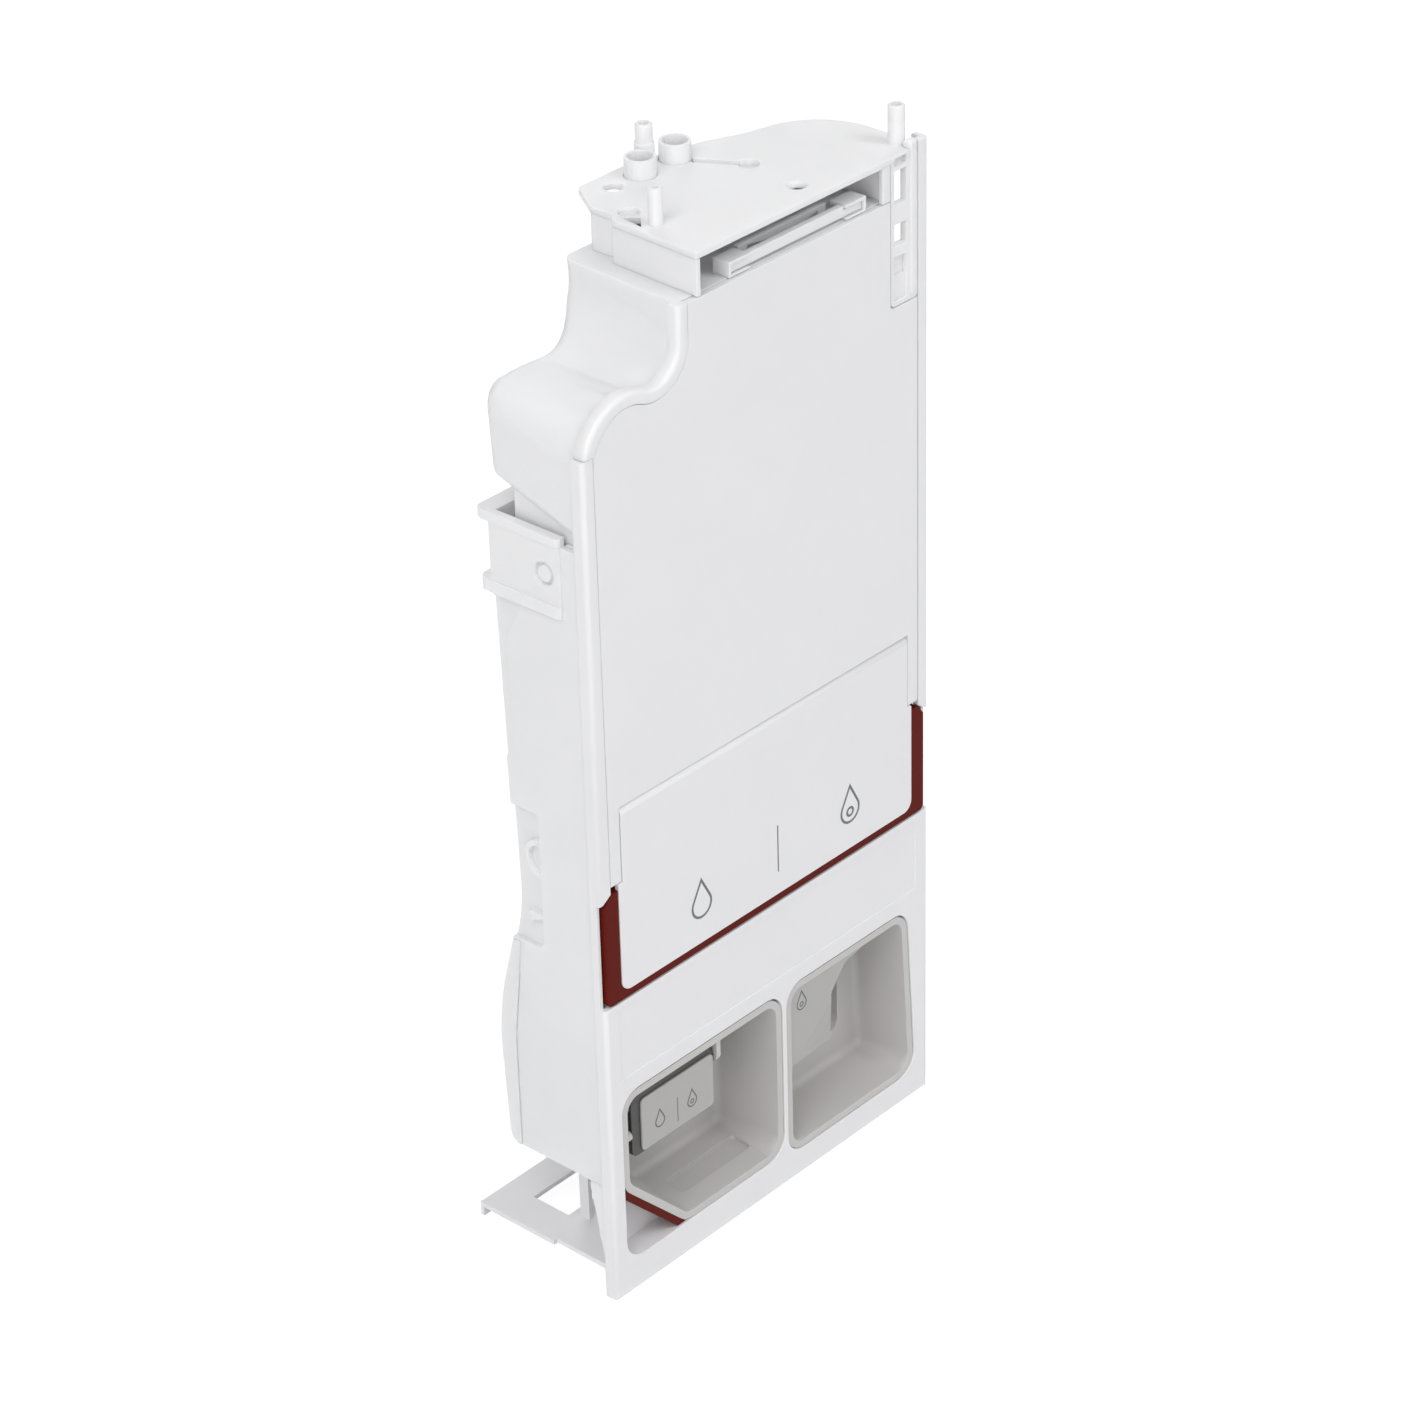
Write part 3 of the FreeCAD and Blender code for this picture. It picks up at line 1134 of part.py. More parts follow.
def tank_cover():
    plate = prism(shouldered(0, BAY_TOP, COVER_TOP), "y", COVER_FRONT, COVER_BACK)
    corner = [edge for edge in edges_at(plate, "x", NOTCH_X) if edge.BoundBox.ZMax < NOTCH_Z + SEAM]
    plate = plate.makeFillet(COVER_NOTCH_R, corner)
    top = BAY_TOP + BAY_WALL
    step = box(-COVER_HALF, COVER_HALF, COVER_FRONT, BAY_BACK, BAY_TOP, top)
    floor = box(-COVER_HALF, COVER_HALF, BAY_FLOOR, BAY_BACK, BAY_BOTTOM, top)
    cheek_inner = FLAP_NECK_HALF + RUN_GAP
    cheek = box(-COVER_HALF, -cheek_inner, COVER_FRONT, BAY_BACK, FLAP_NECK_Z + RUN_GAP, top)
    collars = [slab("y", inset(edge, -FILL_COLLAR), FILL_COLLAR_FRONT, BAY_BACK) for edge in fill_openings()]
    cover = fused(plate, step, floor, *both_sides(cheek), *collars)
    ways = [slab("y", edge, 0, BAY_BACK + PAST) for edge in fill_openings()]
    reach = FLAP_NECK_HALF + FLAP_PIN_REACH + RUN_GAP
    pivot = rod("x", FLAP_PIN_R + PIVOT_GAP, -reach, reach, FLAP_AXIS_Y, FLAP_AXIS_Z)
    return cover.cut(ways + [pivot])


def flap_outline():
    return [
        (-FLAP_HALF, FLAP_BOTTOM, FLAP_R),
        (FLAP_HALF, FLAP_BOTTOM, FLAP_R),
        (FLAP_HALF, FLAP_NECK_Z, FLAP_NECK_R),
        (FLAP_NECK_HALF, FLAP_NECK_Z, 0),
        (FLAP_NECK_HALF, FLAP_AXIS_Z, 0),
        (-FLAP_NECK_HALF, FLAP_AXIS_Z, 0),
        (-FLAP_NECK_HALF, FLAP_NECK_Z, 0),
        (-FLAP_HALF, FLAP_NECK_Z, FLAP_NECK_R),
    ]


def flap_panel():
    """White flap with a round upper edge about its pivots."""
    plate = slab("y", flap_outline(), 0, FLAP_PANEL)
    barrel = rod("x", FLAP_BARREL_R, -FLAP_NECK_HALF, FLAP_NECK_HALF, FLAP_AXIS_Y, FLAP_AXIS_Z)
    reach = FLAP_NECK_HALF + FLAP_PIN_REACH
    pivots = rod("x", FLAP_PIN_R, -reach, reach, FLAP_AXIS_Y, FLAP_AXIS_Z)
    return fused(plate, barrel, pivots)


def flap_carrier():
    """Red backing of the flap, with a band along its lower edge and an ear at each side."""
    edge = [
        (-EAR_HALF, BAND_BOTTOM, FLAP_R / 2),
        (EAR_HALF, BAND_BOTTOM, FLAP_R / 2),
        (EAR_HALF, EAR_OUTER_Z, 0),
        (EAR_SLANT_X, EAR_INNER_Z, 0),
        (FLAP_NECK_HALF, EAR_INNER_Z, 0),
        (FLAP_NECK_HALF, CARRIER_TOP, 0),
        (-FLAP_NECK_HALF, CARRIER_TOP, 0),
        (-FLAP_NECK_HALF, EAR_INNER_Z, 0),
        (-EAR_SLANT_X, EAR_INNER_Z, 0),
        (-EAR_HALF, EAR_OUTER_Z, 0),
    ]
    block = slab("y", edge, CARRIER_FRONT, CARRIER_BACK)
    panel_room = slab("y", inset(flap_outline(), -SEAM), -PAST, FLAP_PANEL)
    return block.cut(panel_room)


def flap_seal():
    """Rubber seal with a window over each filling opening."""
    low, high = FILL_Z[0] - FLAP_SEAL_MARGIN, FILL_Z[1] + FLAP_SEAL_MARGIN
    left, right = FILL_DETERGENT_X[0] - FLAP_SEAL_MARGIN, FILL_SOFTENER_X[1] + FLAP_SEAL_MARGIN
    pad = slab("y", rectangle(left, right, low, high, FILL_R), CARRIER_BACK, CARRIER_BACK + FLAP_SEAL)
    return pad.cut([slab("y", inset(edge, FILL_COLLAR), 0, FOOT_BACK) for edge in fill_openings()])


def from_left(place):
    """Place on the head whose first value is measured from the head's left side."""
    return HEAD_LEFT + place[0], place[1]


def head_outline():
    return [
        (HEAD_LEFT, 0, 0),
        (HEAD_RIGHT_FRONT, 0, 0),
        (HEAD_RIGHT_FRONT, HEAD_RIGHT_STEP_Y, 0),
        (HEAD_RIGHT, HEAD_RIGHT_STEP_Y, 0),
        (HEAD_RIGHT, HEAD_RIGHT_BACK, HEAD_RIGHT_R),
        (*HEAD_DIP, HEAD_EDGE_R),
        (*HEAD_FLANK, HEAD_EDGE_R),
        (*HEAD_CREST, HEAD_EDGE_R),
        (*from_left(HEAD_TAB), HEAD_WALL),
        (*from_left(HEAD_BACK_LEFT), HEAD_WALL),
        (*from_left(HEAD_JOG_BACK), 0),
        (*from_left(HEAD_JOG_FRONT), 0),
    ]


def head_walls():
    """Walls that carry the head's plate on the tank, open at the front slot and stepped round the valves."""
    keep_off = VALVE_CHAMBER_R + RUN_GAP
    bay_left, bay_right = min(SOCKET_X.values()) - keep_off, max(SOCKET_X.values()) + keep_off
    edge = [
        (HEAD_LEFT, 0, 0),
        (NOTCH_X - SEAM, 0, 0),
        (NOTCH_X - SEAM, HEAD_SKIRT_BACK, HEAD_SKIRT_R),
        (bay_right, HEAD_SKIRT_BACK, 0),
        (bay_right, SOCKET_Y - keep_off, 0),
        (bay_left, SOCKET_Y - keep_off, 0),
        (bay_left, HEAD_SKIRT_BACK, 0),
        (HEAD_LEFT + HEAD_JOG_BACK[0], HEAD_SKIRT_BACK, HEAD_WALL),
        (*from_left(HEAD_JOG_BACK), 0),
        (*from_left(HEAD_JOG_FRONT), 0),
    ]
    walls = slab("z", edge, TANK_TOP, PLATE_BOTTOM)
    room = slab("z", inset(edge, HEAD_WALL), TANK_TOP - PAST, HEAD_TOP)
    slot_left, slot_right = HEAD_LEFT + HEAD_WALL, NOTCH_X - SLOT_COLUMN
    slot = box(slot_left, slot_right, -PAST, 2 * HEAD_WALL, TANK_TOP - PAST, HEAD_TOP)
    return walls.cut([room, slot])


def head_skirt():
    """Walls under the head's plate, with the two port bosses."""
    pieces = [head_walls()]
    for x in PORT_X.values():
        boss = rod("z", PORT_SEAL_R + PORT_BOSS_WALL, TANK_TOP, PLATE_BOTTOM, x, PORT_Y)
        port = rod("z", PORT_R, TANK_TOP - PAST, PLATE_BOTTOM - HEAD_WALL, x, PORT_Y)
        seal_room = rod("z", PORT_SEAL_R, TANK_TOP - PAST, TANK_TOP + PORT_SEAL_HEIGHT, x, PORT_Y)
        pieces.append(boss.cut([port, seal_room]))
    return Part.makeCompound(pieces)


def ladder_span():
    """Left and right edge of the ladder and of its windows."""
    left, right = NOTCH_X + RUN_GAP, HEAD_RIGHT_FRONT
    return left, right, left + LADDER_STILE, right - LADDER_RIGHT_STILE


def guide_column():
    """Ladder at the right with two windows and a stepped pocket, and the bead along its right side."""
    left, right, window_left, window_right = ladder_span()
    edge = [
        (left, LADDER_BOTTOM, COVER_NOTCH_R),
        (right, LADDER_BOTTOM, COVER_NOTCH_R),
        (right, PLATE_BOTTOM, 0),
        (left, PLATE_BOTTOM, 0),
    ]
    column = slab("y", edge, LADDER_FRONT, LADDER_BACK)
    pocket_low = HEAD_TOP - LADDER_POCKET_DROP
    pocket_high = pocket_low + LADDER_POCKET_HEIGHT
    field = LADDER_FRONT + LADDER_FIELD_DEPTH
    pocket = LADDER_FRONT + LADDER_POCKET_DEPTH
    cuts = [
        box(window_left, window_right, -PAST, field, LADDER_BOTTOM + LADDER_CURB, pocket_low + PAST),
        box(window_left, window_right, -PAST, pocket, pocket_low, pocket_high),
        column_notch(),
    ]
    behind = LADDER_BACK + PAST
    for low, high in LADDER_WINDOW_DROPS:
        cuts.append(box(window_left, window_right, -PAST, behind, HEAD_TOP - low, HEAD_TOP - high))
    return fused(column.cut(cuts), bead())


def column_notch():
    """Pocket above the ladder, partly in the front edge of the head's plate."""
    left, right, window_left, window_right = ladder_span()
    low = PLATE_BOTTOM - HEAD_WALL
    high = PLATE_BOTTOM + LADDER_NOTCH_RISE
    return box(window_left, window_right, -PAST, LADDER_FRONT + LADDER_POCKET_DEPTH, low, high)


def bead():
    """Rounded upright along the ladder, which stands out above the head."""
    left, right = HEAD_RIGHT_FRONT - BEAD_WIDTH, HEAD_RIGHT_FRONT
    section = [
        (left, 0, BEAD_R),
        (right, 0, BEAD_R),
        (right, LADDER_BACK, 0),
        (left, LADDER_BACK, 0),
    ]
    top = HEAD_TOP + BEAD_RISE
    bar = slab("z", section, LADDER_BOTTOM + LADDER_CURB, top)
    return bar.makeFillet(BEAD_R / 2, edges_at(bar, "z", top))


def guide_pins():
    """Three guide pins; the rear one has a shoulder that clears the outlet sockets beside it."""
    return [
        guide_pin(*REAR_PIN, REAR_PIN_R, REAR_PIN_HEIGHT, SOCKET_RISE + PIN_SHOULDER_RISE),
        guide_pin(*from_left(LEFT_PIN), LEFT_PIN_R, LEFT_PIN_HEIGHT, 0),
        guide_pin(HALF - RIGHT_PIN_SIDE, RIGHT_PIN_Y, RIGHT_PIN_R, RIGHT_PIN_HEIGHT, 0),
    ]


def guide_pin(x, y, radius, height, shoulder):
    """Guide pin with a chamfered, hollow tip and a shoulder at its foot."""
    top = HEAD_TOP + height
    foot_disc = rod("z", radius + PIN_SHOULDER, HEAD_TOP - SEAM, HEAD_TOP + shoulder, x, y)
    pin = rod("z", radius, HEAD_TOP - SEAM, top - PIN_CHAMFER, x, y)
    tip = Part.makeCone(radius, radius - PIN_CHAMFER, PIN_CHAMFER, V(x, y, top - PIN_CHAMFER))
    bore = rod("z", radius - PIN_CHAMFER - PIN_BORE_WALL, top - PIN_BORE_DEPTH, top + PAST, x, y)
    return fused(pin, tip, foot_disc).cut(bore)


def valve_housing(x):
    """Outlet socket above the plate, on a valve chamber whose shoulder lies under the plate's skin."""
    shoulder = HEAD_TOP - SOCKET_SKIN - SEAM
    socket = rod("z", SOCKET_R, shoulder - SEAM, HEAD_TOP + SOCKET_RISE, x, SOCKET_Y)
    chamber = rod("z", VALVE_CHAMBER_R, VALVE_CHAMBER_BOTTOM, shoulder, x, SOCKET_Y)
    return fused(socket, chamber)


def housing_room(x):
    """Hole in the plate for an outlet socket, wider below the skin for the valve chamber."""
    hole = rod("z", SOCKET_R + SEAM, PLATE_BOTTOM - PAST, HEAD_TOP + PAST, x, SOCKET_Y)
    sink = rod("z", VALVE_CHAMBER_R + SEAM, PLATE_BOTTOM - PAST, HEAD_TOP - SOCKET_SKIN, x, SOCKET_Y)
    return [hole, sink]


def valve_ways(x):
    """Bore of a valve and the groove of its seal."""
    bore = rod("z", SOCKET_BORE_R, VALVE_BORE_BOTTOM, HEAD_TOP + SOCKET_RISE + PAST, x, SOCKET_Y)
    groove_r = SOCKET_BORE_R + VALVE_SEAL_WALL
    groove = rod("z", groove_r, VALVE_SEAL_Z, VALVE_SEAL_Z + VALVE_SEAL_HEIGHT, x, SOCKET_Y)
    return [bore, groove]


def outlet_sockets():
    """Outlet sockets with their valve chambers, let into the head's plate from below."""
    housings = [valve_housing(x).cut(valve_ways(x) + [channel()]) for x in SOCKET_X.values()]
    return Part.makeCompound(housings)


def rear_head():
    """Plate of the head with its guide pins, holes and recesses."""
    plate = slab("z", head_outline(), PLATE_BOTTOM, HEAD_TOP)
    bead_left = HEAD_RIGHT_FRONT - BEAD_WIDTH - SEAM
    cuts = [
        column_notch(),
        box(bead_left, HALF, -PAST, LADDER_BACK + SEAM, PLATE_BOTTOM - PAST, HEAD_TOP + PAST),
    ]
    for x in SOCKET_X.values():
        cuts += housing_room(x)
    x, y, radius = THROUGH_HOLE
    cuts.append(rod("z", radius, PLATE_BOTTOM - PAST, HEAD_TOP + PAST, x, y))
    x, y, radius, sink = SCREW_HOLE
    cuts.append(rod("z", radius, PLATE_BOTTOM - PAST, HEAD_TOP + PAST, x, y))
    cuts.append(Part.makeCone(radius, sink, SCREW_SINK, V(x, y, HEAD_TOP - SCREW_SINK)))
    x, y = from_left(CORNER_RECESS[:2])
    cuts.append(rod("z", CORNER_RECESS[2], HEAD_TOP - RECESS_SINK, HEAD_TOP + PAST, x, y))
    x, y, radius = DISC
    cuts.append(rod("z", radius, HEAD_TOP - DISC_SINK, HEAD_TOP + PAST, x, y))
    notch = sharp([from_left(place) for place in CORNER_NOTCH])
    cuts += [channel(), slab("z", notch, PLATE_BOTTOM - PAST, HEAD_TOP + PAST)]
    return fused(plate, *guide_pins()).cut(cuts)


def channel():
    """Sunk channel from the softener socket to the round recess."""
    start, end = V(*CHANNEL_START, 0), V(*DISC[:2], 0)
    along = (end - start).normalize()
    side = V(-along.y, along.x, 0) * (CHANNEL_WIDTH / 2)
    corners = [start - side, end - side, end + side, start + side]
    return slab("z", [(p.x, p.y, 0) for p in corners], HEAD_TOP - CHANNEL_SINK, HEAD_TOP + PAST)


def port_seals():
    """Two rubber rings between the tank's outlets and the head."""
    rings = [
        ring("z", PORT_SEAL_R - SEAM / 2, PORT_R, TANK_TOP, TANK_TOP + PORT_SEAL_HEIGHT, x, PORT_Y)
        for x in PORT_X.values()
    ]
    return Part.makeCompound(rings)


def valve_seal(x):
    outer = SOCKET_BORE_R + VALVE_SEAL_WALL - SEAM / 2
    return ring("z", outer, VALVE_SEAL_BORE_R, VALVE_SEAL_Z, VALVE_SEAL_Z + VALVE_SEAL_HEIGHT, x, SOCKET_Y)


def poppet_foot():
    """Height of the poppet's shoulder, on which its spring presses."""
    return VALVE_SEAL_Z - SEAM - POPPET_HEIGHT


def valve_poppet(x):
    """Fluted poppet with a nose that reaches into the seal and a stem for the spring."""
    foot_z = poppet_foot()
    top = foot_z + POPPET_HEIGHT
    disc = rod("z", POPPET_R, foot_z, top, x, SOCKET_Y)
    nose = Part.makeCone(POPPET_NOSE_R, POPPET_NOSE_R / 2, POPPET_NOSE, V(x, SOCKET_Y, top))
    stem = rod("z", POPPET_STEM_R, foot_z - POPPET_STEM, foot_z, x, SOCKET_Y)
    flutes = []
    for index in range(POPPET_FLUTES):
        angle = 2 * math.pi * index / POPPET_FLUTES
        flute_x, flute_y = x + POPPET_R * math.cos(angle), SOCKET_Y + POPPET_R * math.sin(angle)
        flutes.append(rod("z", POPPET_FLUTE_R, foot_z - PAST, top + PAST, flute_x, flute_y))
    return fused(disc.cut(flutes), nose, stem)


def valve_spring(x):
    """Square-wire coil spring between the chamber's floor and the poppet, wound in short straight runs."""
    half = VALVE_WIRE / 2
    low = VALVE_BORE_BOTTOM + half + SEAM / 2
    height = poppet_foot() - VALVE_BORE_BOTTOM - VALVE_WIRE - SEAM
    runs = VALVE_SPRING_TURNS * VALVE_SPRING_SIDES
    points = []
    for index in range(runs + 1):
        angle = 2 * math.pi * index / VALVE_SPRING_SIDES
        across, along = VALVE_SPRING_R * math.cos(angle), VALVE_SPRING_R * math.sin(angle)
        points.append(V(across, along, height * index / runs))
    inner, outer = VALVE_SPRING_R - half, VALVE_SPRING_R + half
    corners = [V(inner, 0, -half), V(outer, 0, -half), V(outer, 0, half), V(inner, 0, half)]
    section = Part.makePolygon(corners + corners[:1])
    coil = Part.makePolygon(points).makePipeShell([section], True, True, 1)
    coil.translate(V(x, SOCKET_Y, low))
    return coil


def sub_parts():
    """Every sub-part of the drawer by name."""
    parts = {
        "drawer_frame": drawer_frame(),
        "tray_shell": tray_shell(),
        "tray_rear_cover": tray_rear_cover(),
        "tank_body": tank_body(),
        "tank_cover": tank_cover(),
        "rear_head": rear_head(),
        "head_skirt": head_skirt(),
        "outlet_sockets": outlet_sockets(),
        "guide_column": guide_column(),
        "bar_guides": bar_guides(),
        "port_seals": port_seals(),
        "release_bar": release_bar(),
        "release_spring": release_spring(),
        "flap_panel": flap_panel(),
        "flap_carrier": flap_carrier(),
        "flap_seal": flap_seal(),
        "manual_cup": manual_cup(),
        "cup_grip": cup_grip(),
        "liquid_flap": liquid_flap(),
        "liquid_flap_label": liquid_flap_label(),
        "softener_cup": softener_cup(),
        "siphon_cover": siphon_cover(),
    }
    for liquid, x in SOCKET_X.items():
        parts["valve_poppet_" + liquid] = valve_poppet(x)
        parts["valve_spring_" + liquid] = valve_spring(x)
        parts["valve_seal_" + liquid] = valve_seal(x)
    return parts


os.makedirs("parts", exist_ok=True)
for name, shape in sub_parts().items():
    shape.translate(SHIFT)
    shape.exportStep("parts/" + name + ".step")
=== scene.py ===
import math

import bmesh
import bpy
from mathutils import Matrix, Vector


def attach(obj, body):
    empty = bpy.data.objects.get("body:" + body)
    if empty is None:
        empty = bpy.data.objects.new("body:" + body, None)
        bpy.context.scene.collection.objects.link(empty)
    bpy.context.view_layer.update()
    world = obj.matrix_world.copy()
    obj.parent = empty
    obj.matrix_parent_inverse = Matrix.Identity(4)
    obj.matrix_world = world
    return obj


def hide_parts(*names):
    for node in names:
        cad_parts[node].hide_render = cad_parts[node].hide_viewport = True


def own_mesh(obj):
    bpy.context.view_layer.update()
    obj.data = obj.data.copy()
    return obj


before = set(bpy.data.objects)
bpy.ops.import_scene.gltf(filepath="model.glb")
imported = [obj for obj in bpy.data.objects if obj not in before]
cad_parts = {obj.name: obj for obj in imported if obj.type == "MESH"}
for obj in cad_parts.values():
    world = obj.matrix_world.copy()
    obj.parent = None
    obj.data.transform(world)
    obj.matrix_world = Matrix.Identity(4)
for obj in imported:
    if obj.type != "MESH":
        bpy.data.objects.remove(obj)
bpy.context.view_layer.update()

# Sizes of the object are in mm. The studio round it is in metres.
MM = 0.001

# Faces that carry print, as depths in the model's frame
FACE_Y = -35.5           # the drawer's face and the filling flap
LABEL_Y = FACE_Y + 2.8   # plate on the flap in the left cup
SIPHON_Y = FACE_Y + 1.3  # siphon cover
PRINT_LIFT = 0.03        # how far print stands off its face
MITRE_LIMIT = 0.4        # least cosine of half the bend at a mitred corner
DROP_RISE = 2.1          # height of a drop's tip above its middle, in radii
DROP_STEPS = 20
RING_STEPS = 16

# Valve springs, wound from the chamber's floor to the poppet, which comes down by 3
COIL_X = {"detergent": 5.4, "softener": 23.2}
COIL_Y = 23.0
COIL_FOOT = 385.9
COIL_HEIGHT = 6.85
COIL_R = 3.2
COIL_TURNS = 4
COIL_STEPS = 24          # rings in each turn
WIRE_R = 0.3
WIRE_SIDES = 8

# Leaf spring of the release bar, which bows out from its stop and is pressed in by 2.5
LEAF = 0.5               # thickness
LEAF_X = 22.1
LEAF_BACK = -26.7
LEAF_Z = (385.2, 388.2)
LEAF_HALF = 18.0
LEAF_BOW = 3.7
LEAF_STEPS = 24

# Width of the broken edges: by node where thin walls leave less room, otherwise by look
EDGE = 0.25
EDGE_OF_LOOK = {"steel": 0.05, "rubber": 0.1, "pale_grey": 0.15}
EDGE_OF_NODE = {
    "drawer_frame": 0.15,
    "tank_body": 0.06,
    "rear_head": 0.10,
    "outlet_sockets": 0.06,
    "guide_column": 0.0,
    "tray_shell": 0.10,
    "tray_rear_cover": 0.15,
    "manual_cup": 0.10,
}
EDGE_SEGMENTS = 2
EDGE_ANGLE = math.radians(45)  # flatter edges stay as they are
WELD_GAP = 0.001

# Colours, linear
WHITE_FACE = (0.80, 0.80, 0.815)
WHITE_SHELL = (0.82, 0.82, 0.83)
CUP_GREY = (0.550, 0.535, 0.530)
PALE_GREY = (0.420, 0.417, 0.407)
DARK_GREY = (0.050, 0.050, 0.050)
RED = (0.112, 0.0085, 0.0045)
RUBBER = (0.030, 0.030, 0.032)
STEEL = (0.56, 0.56, 0.57)
PRINT = (0.150, 0.150, 0.155)

# Noise of the moulded surfaces: scale per metre, and detail
CLOUD_SCALE, CLOUD_DETAIL = 22.0, 3.0
GLOSS_SCALE, GLOSS_DETAIL = 160.0, 4.0
SWELL_SCALE, SWELL_DETAIL = 34.0, 1.0
GRAIN_DETAIL = 2.0
GLOSS_SPREAD = 0.05              # roughness either side of a look's own
NOISE_LOW, NOISE_HIGH = 0.3, 0.7  # range that the noise mostly keeps to
SOFT_RADIUS = (1.0, 0.95, 0.9)   # reach of red, green and blue light below the surface
SOFT_SCALE = 3.5 * MM
MIX_FACTOR, MIX_A, MIX_B, MIX_RESULT = 0, 6, 7, 2  # colour sockets of the Mix node

# Lamps: place, diameter in metres, power in watts
LAMPS = {
    "key": ((-2.0, -0.7, 2.8), 2.2, 39),
    "front": ((0.6, -2.2, 2.5), 1.8, 28),
    "left": ((-2.7, -1.4, 0.8), 1.6, 16),
    "rear": ((1.6, 2.2, 2.2), 2.0, 10),
}
LAMP_TARGET = (0, 0, 0.2)

# White room: light that it casts, and how white the background looks
ROOM_LIGHT = 0.42
ROOM_WHITE = 1.0
FLOOR_RADIUS = 9.0
FLOOR_SIDES = 64
FLOOR_COLOUR = (0.88, 0.88, 0.88, 1)
FLOOR_ROUGH = 0.9
FLOOR_GLOW = 1.155
FLOOR_GLOW_SHARE = 0.80  # the rest is lit, so the shadow shows

# The photograph's viewpoint
AZIMUTH = math.radians(-47.465)
ELEVATION = math.radians(30.160)
ROLL = math.radians(-1.637)
EYE = (-1.0024, -0.9232, 0.9932)
LENS, SENSOR = 111.555, 36.0
CLIP_NEAR, CLIP_FAR = 0.05, 60.0


def linked(name, data):
    """New object in the scene."""
    obj = bpy.data.objects.new(name, data)
    bpy.context.scene.collection.objects.link(obj)
    return obj


def placed(name, mesh):
    """New object in the scene from a finished bmesh, which is freed."""
    data = bpy.data.meshes.new(name)
    mesh.to_mesh(data)
    mesh.free()
    return linked(name, data)


def add(tree, kind, **inputs):
    """New shader node with inputs set by name, an underscore standing for a space."""
    node = tree.nodes.new(kind)
    for key, value in inputs.items():
        node.inputs[key.replace("_", " ")].default_value = value
    return node


def noise(tree, place, scale, detail):
    node = add(tree, "ShaderNodeTexNoise", Scale=scale, Detail=detail)
    tree.links.new(place.outputs["Object"], node.inputs["Vector"])
    return node.outputs["Fac"]


def span(tree, source, low, high):
    """Map a noise from its usual range to low..high."""
    node = add(tree, "ShaderNodeMapRange", From_Min=NOISE_LOW, From_Max=NOISE_HIGH, To_Min=low, To_Max=high)
    tree.links.new(source, node.inputs["Value"])
    return node.outputs["Result"]


def shade(colour, factor):
    return tuple(min(1.0, channel * factor) for channel in colour) + (1.0,)


def material(name, colour, rough, grain, depth, vary, wave=0.0, metal=0.0, soft=0.0, shine=0.5):
    """Moulded surface: cloudy colour, uneven gloss, fine grain and a slight waviness."""
    made = bpy.data.materials.new(name)
    made.use_nodes = True
    tree = made.node_tree
    shader = tree.nodes["Principled BSDF"]
    shader.inputs["Metallic"].default_value = metal
    shader.inputs["Specular IOR Level"].default_value = shine
    if soft:
        shader.inputs["Subsurface Weight"].default_value = soft
        shader.inputs["Subsurface Radius"].default_value = SOFT_RADIUS
        shader.inputs["Subsurface Scale"].default_value = SOFT_SCALE
    place = tree.nodes.new("ShaderNodeTexCoord")
    cloud = noise(tree, place, CLOUD_SCALE, CLOUD_DETAIL)
    tones = tree.nodes.new("ShaderNodeMix")
    tones.data_type = "RGBA"
    tones.inputs[MIX_A].default_value = shade(colour, 1 - vary)
    tones.inputs[MIX_B].default_value = shade(colour, 1 + vary)
    tree.links.new(span(tree, cloud, 0.0, 1.0), tones.inputs[MIX_FACTOR])
    tree.links.new(tones.outputs[MIX_RESULT], shader.inputs["Base Color"])
    gloss = noise(tree, place, GLOSS_SCALE, GLOSS_DETAIL)
    low, high = rough - GLOSS_SPREAD, rough + GLOSS_SPREAD
    tree.links.new(span(tree, gloss, low, high), shader.inputs["Roughness"])
    fine = add(tree, "ShaderNodeBump", Strength=1.0, Distance=depth * MM)
    tree.links.new(noise(tree, place, grain, GRAIN_DETAIL), fine.inputs["Height"])
    if wave:
        swell = add(tree, "ShaderNodeBump", Strength=1.0, Distance=wave * MM)
        tree.links.new(noise(tree, place, SWELL_SCALE, SWELL_DETAIL), swell.inputs["Height"])
        tree.links.new(swell.outputs["Normal"], fine.inputs["Normal"])
    tree.links.new(fine.outputs["Normal"], shader.inputs["Normal"])
    return made


materials = {
    "white_face": material("white_face", WHITE_FACE, rough=0.42, grain=2600.0, depth=0.012, vary=0.010,
                           wave=0.03),
    "white_shell": material("white_shell", WHITE_SHELL, rough=0.46, grain=2200.0, depth=0.016, vary=0.014,
                            wave=0.06, soft=0.5),
    "cup_grey": material("cup_grey", CUP_GREY, rough=0.44, grain=2400.0, depth=0.014, vary=0.018, wave=0.03),
    "pale_grey": material("pale_grey", PALE_GREY, rough=0.42, grain=2600.0, depth=0.012, vary=0.012),
    "dark_grey": material("dark_grey", DARK_GREY, rough=0.40, grain=2400.0, depth=0.014, vary=0.08),
    "red": material("red", RED, rough=0.40, grain=2400.0, depth=0.012, vary=0.06, wave=0.02, shine=0.05),
    "rubber": material("rubber", RUBBER, rough=0.70, grain=2000.0, depth=0.02, vary=0.10),
    "steel": material("steel", STEEL, rough=0.30, grain=3000.0, depth=0.008, vary=0.05, metal=1.0),
    "print": material("print", PRINT, rough=0.50, grain=2600.0, depth=0.006, vary=0.05),
}

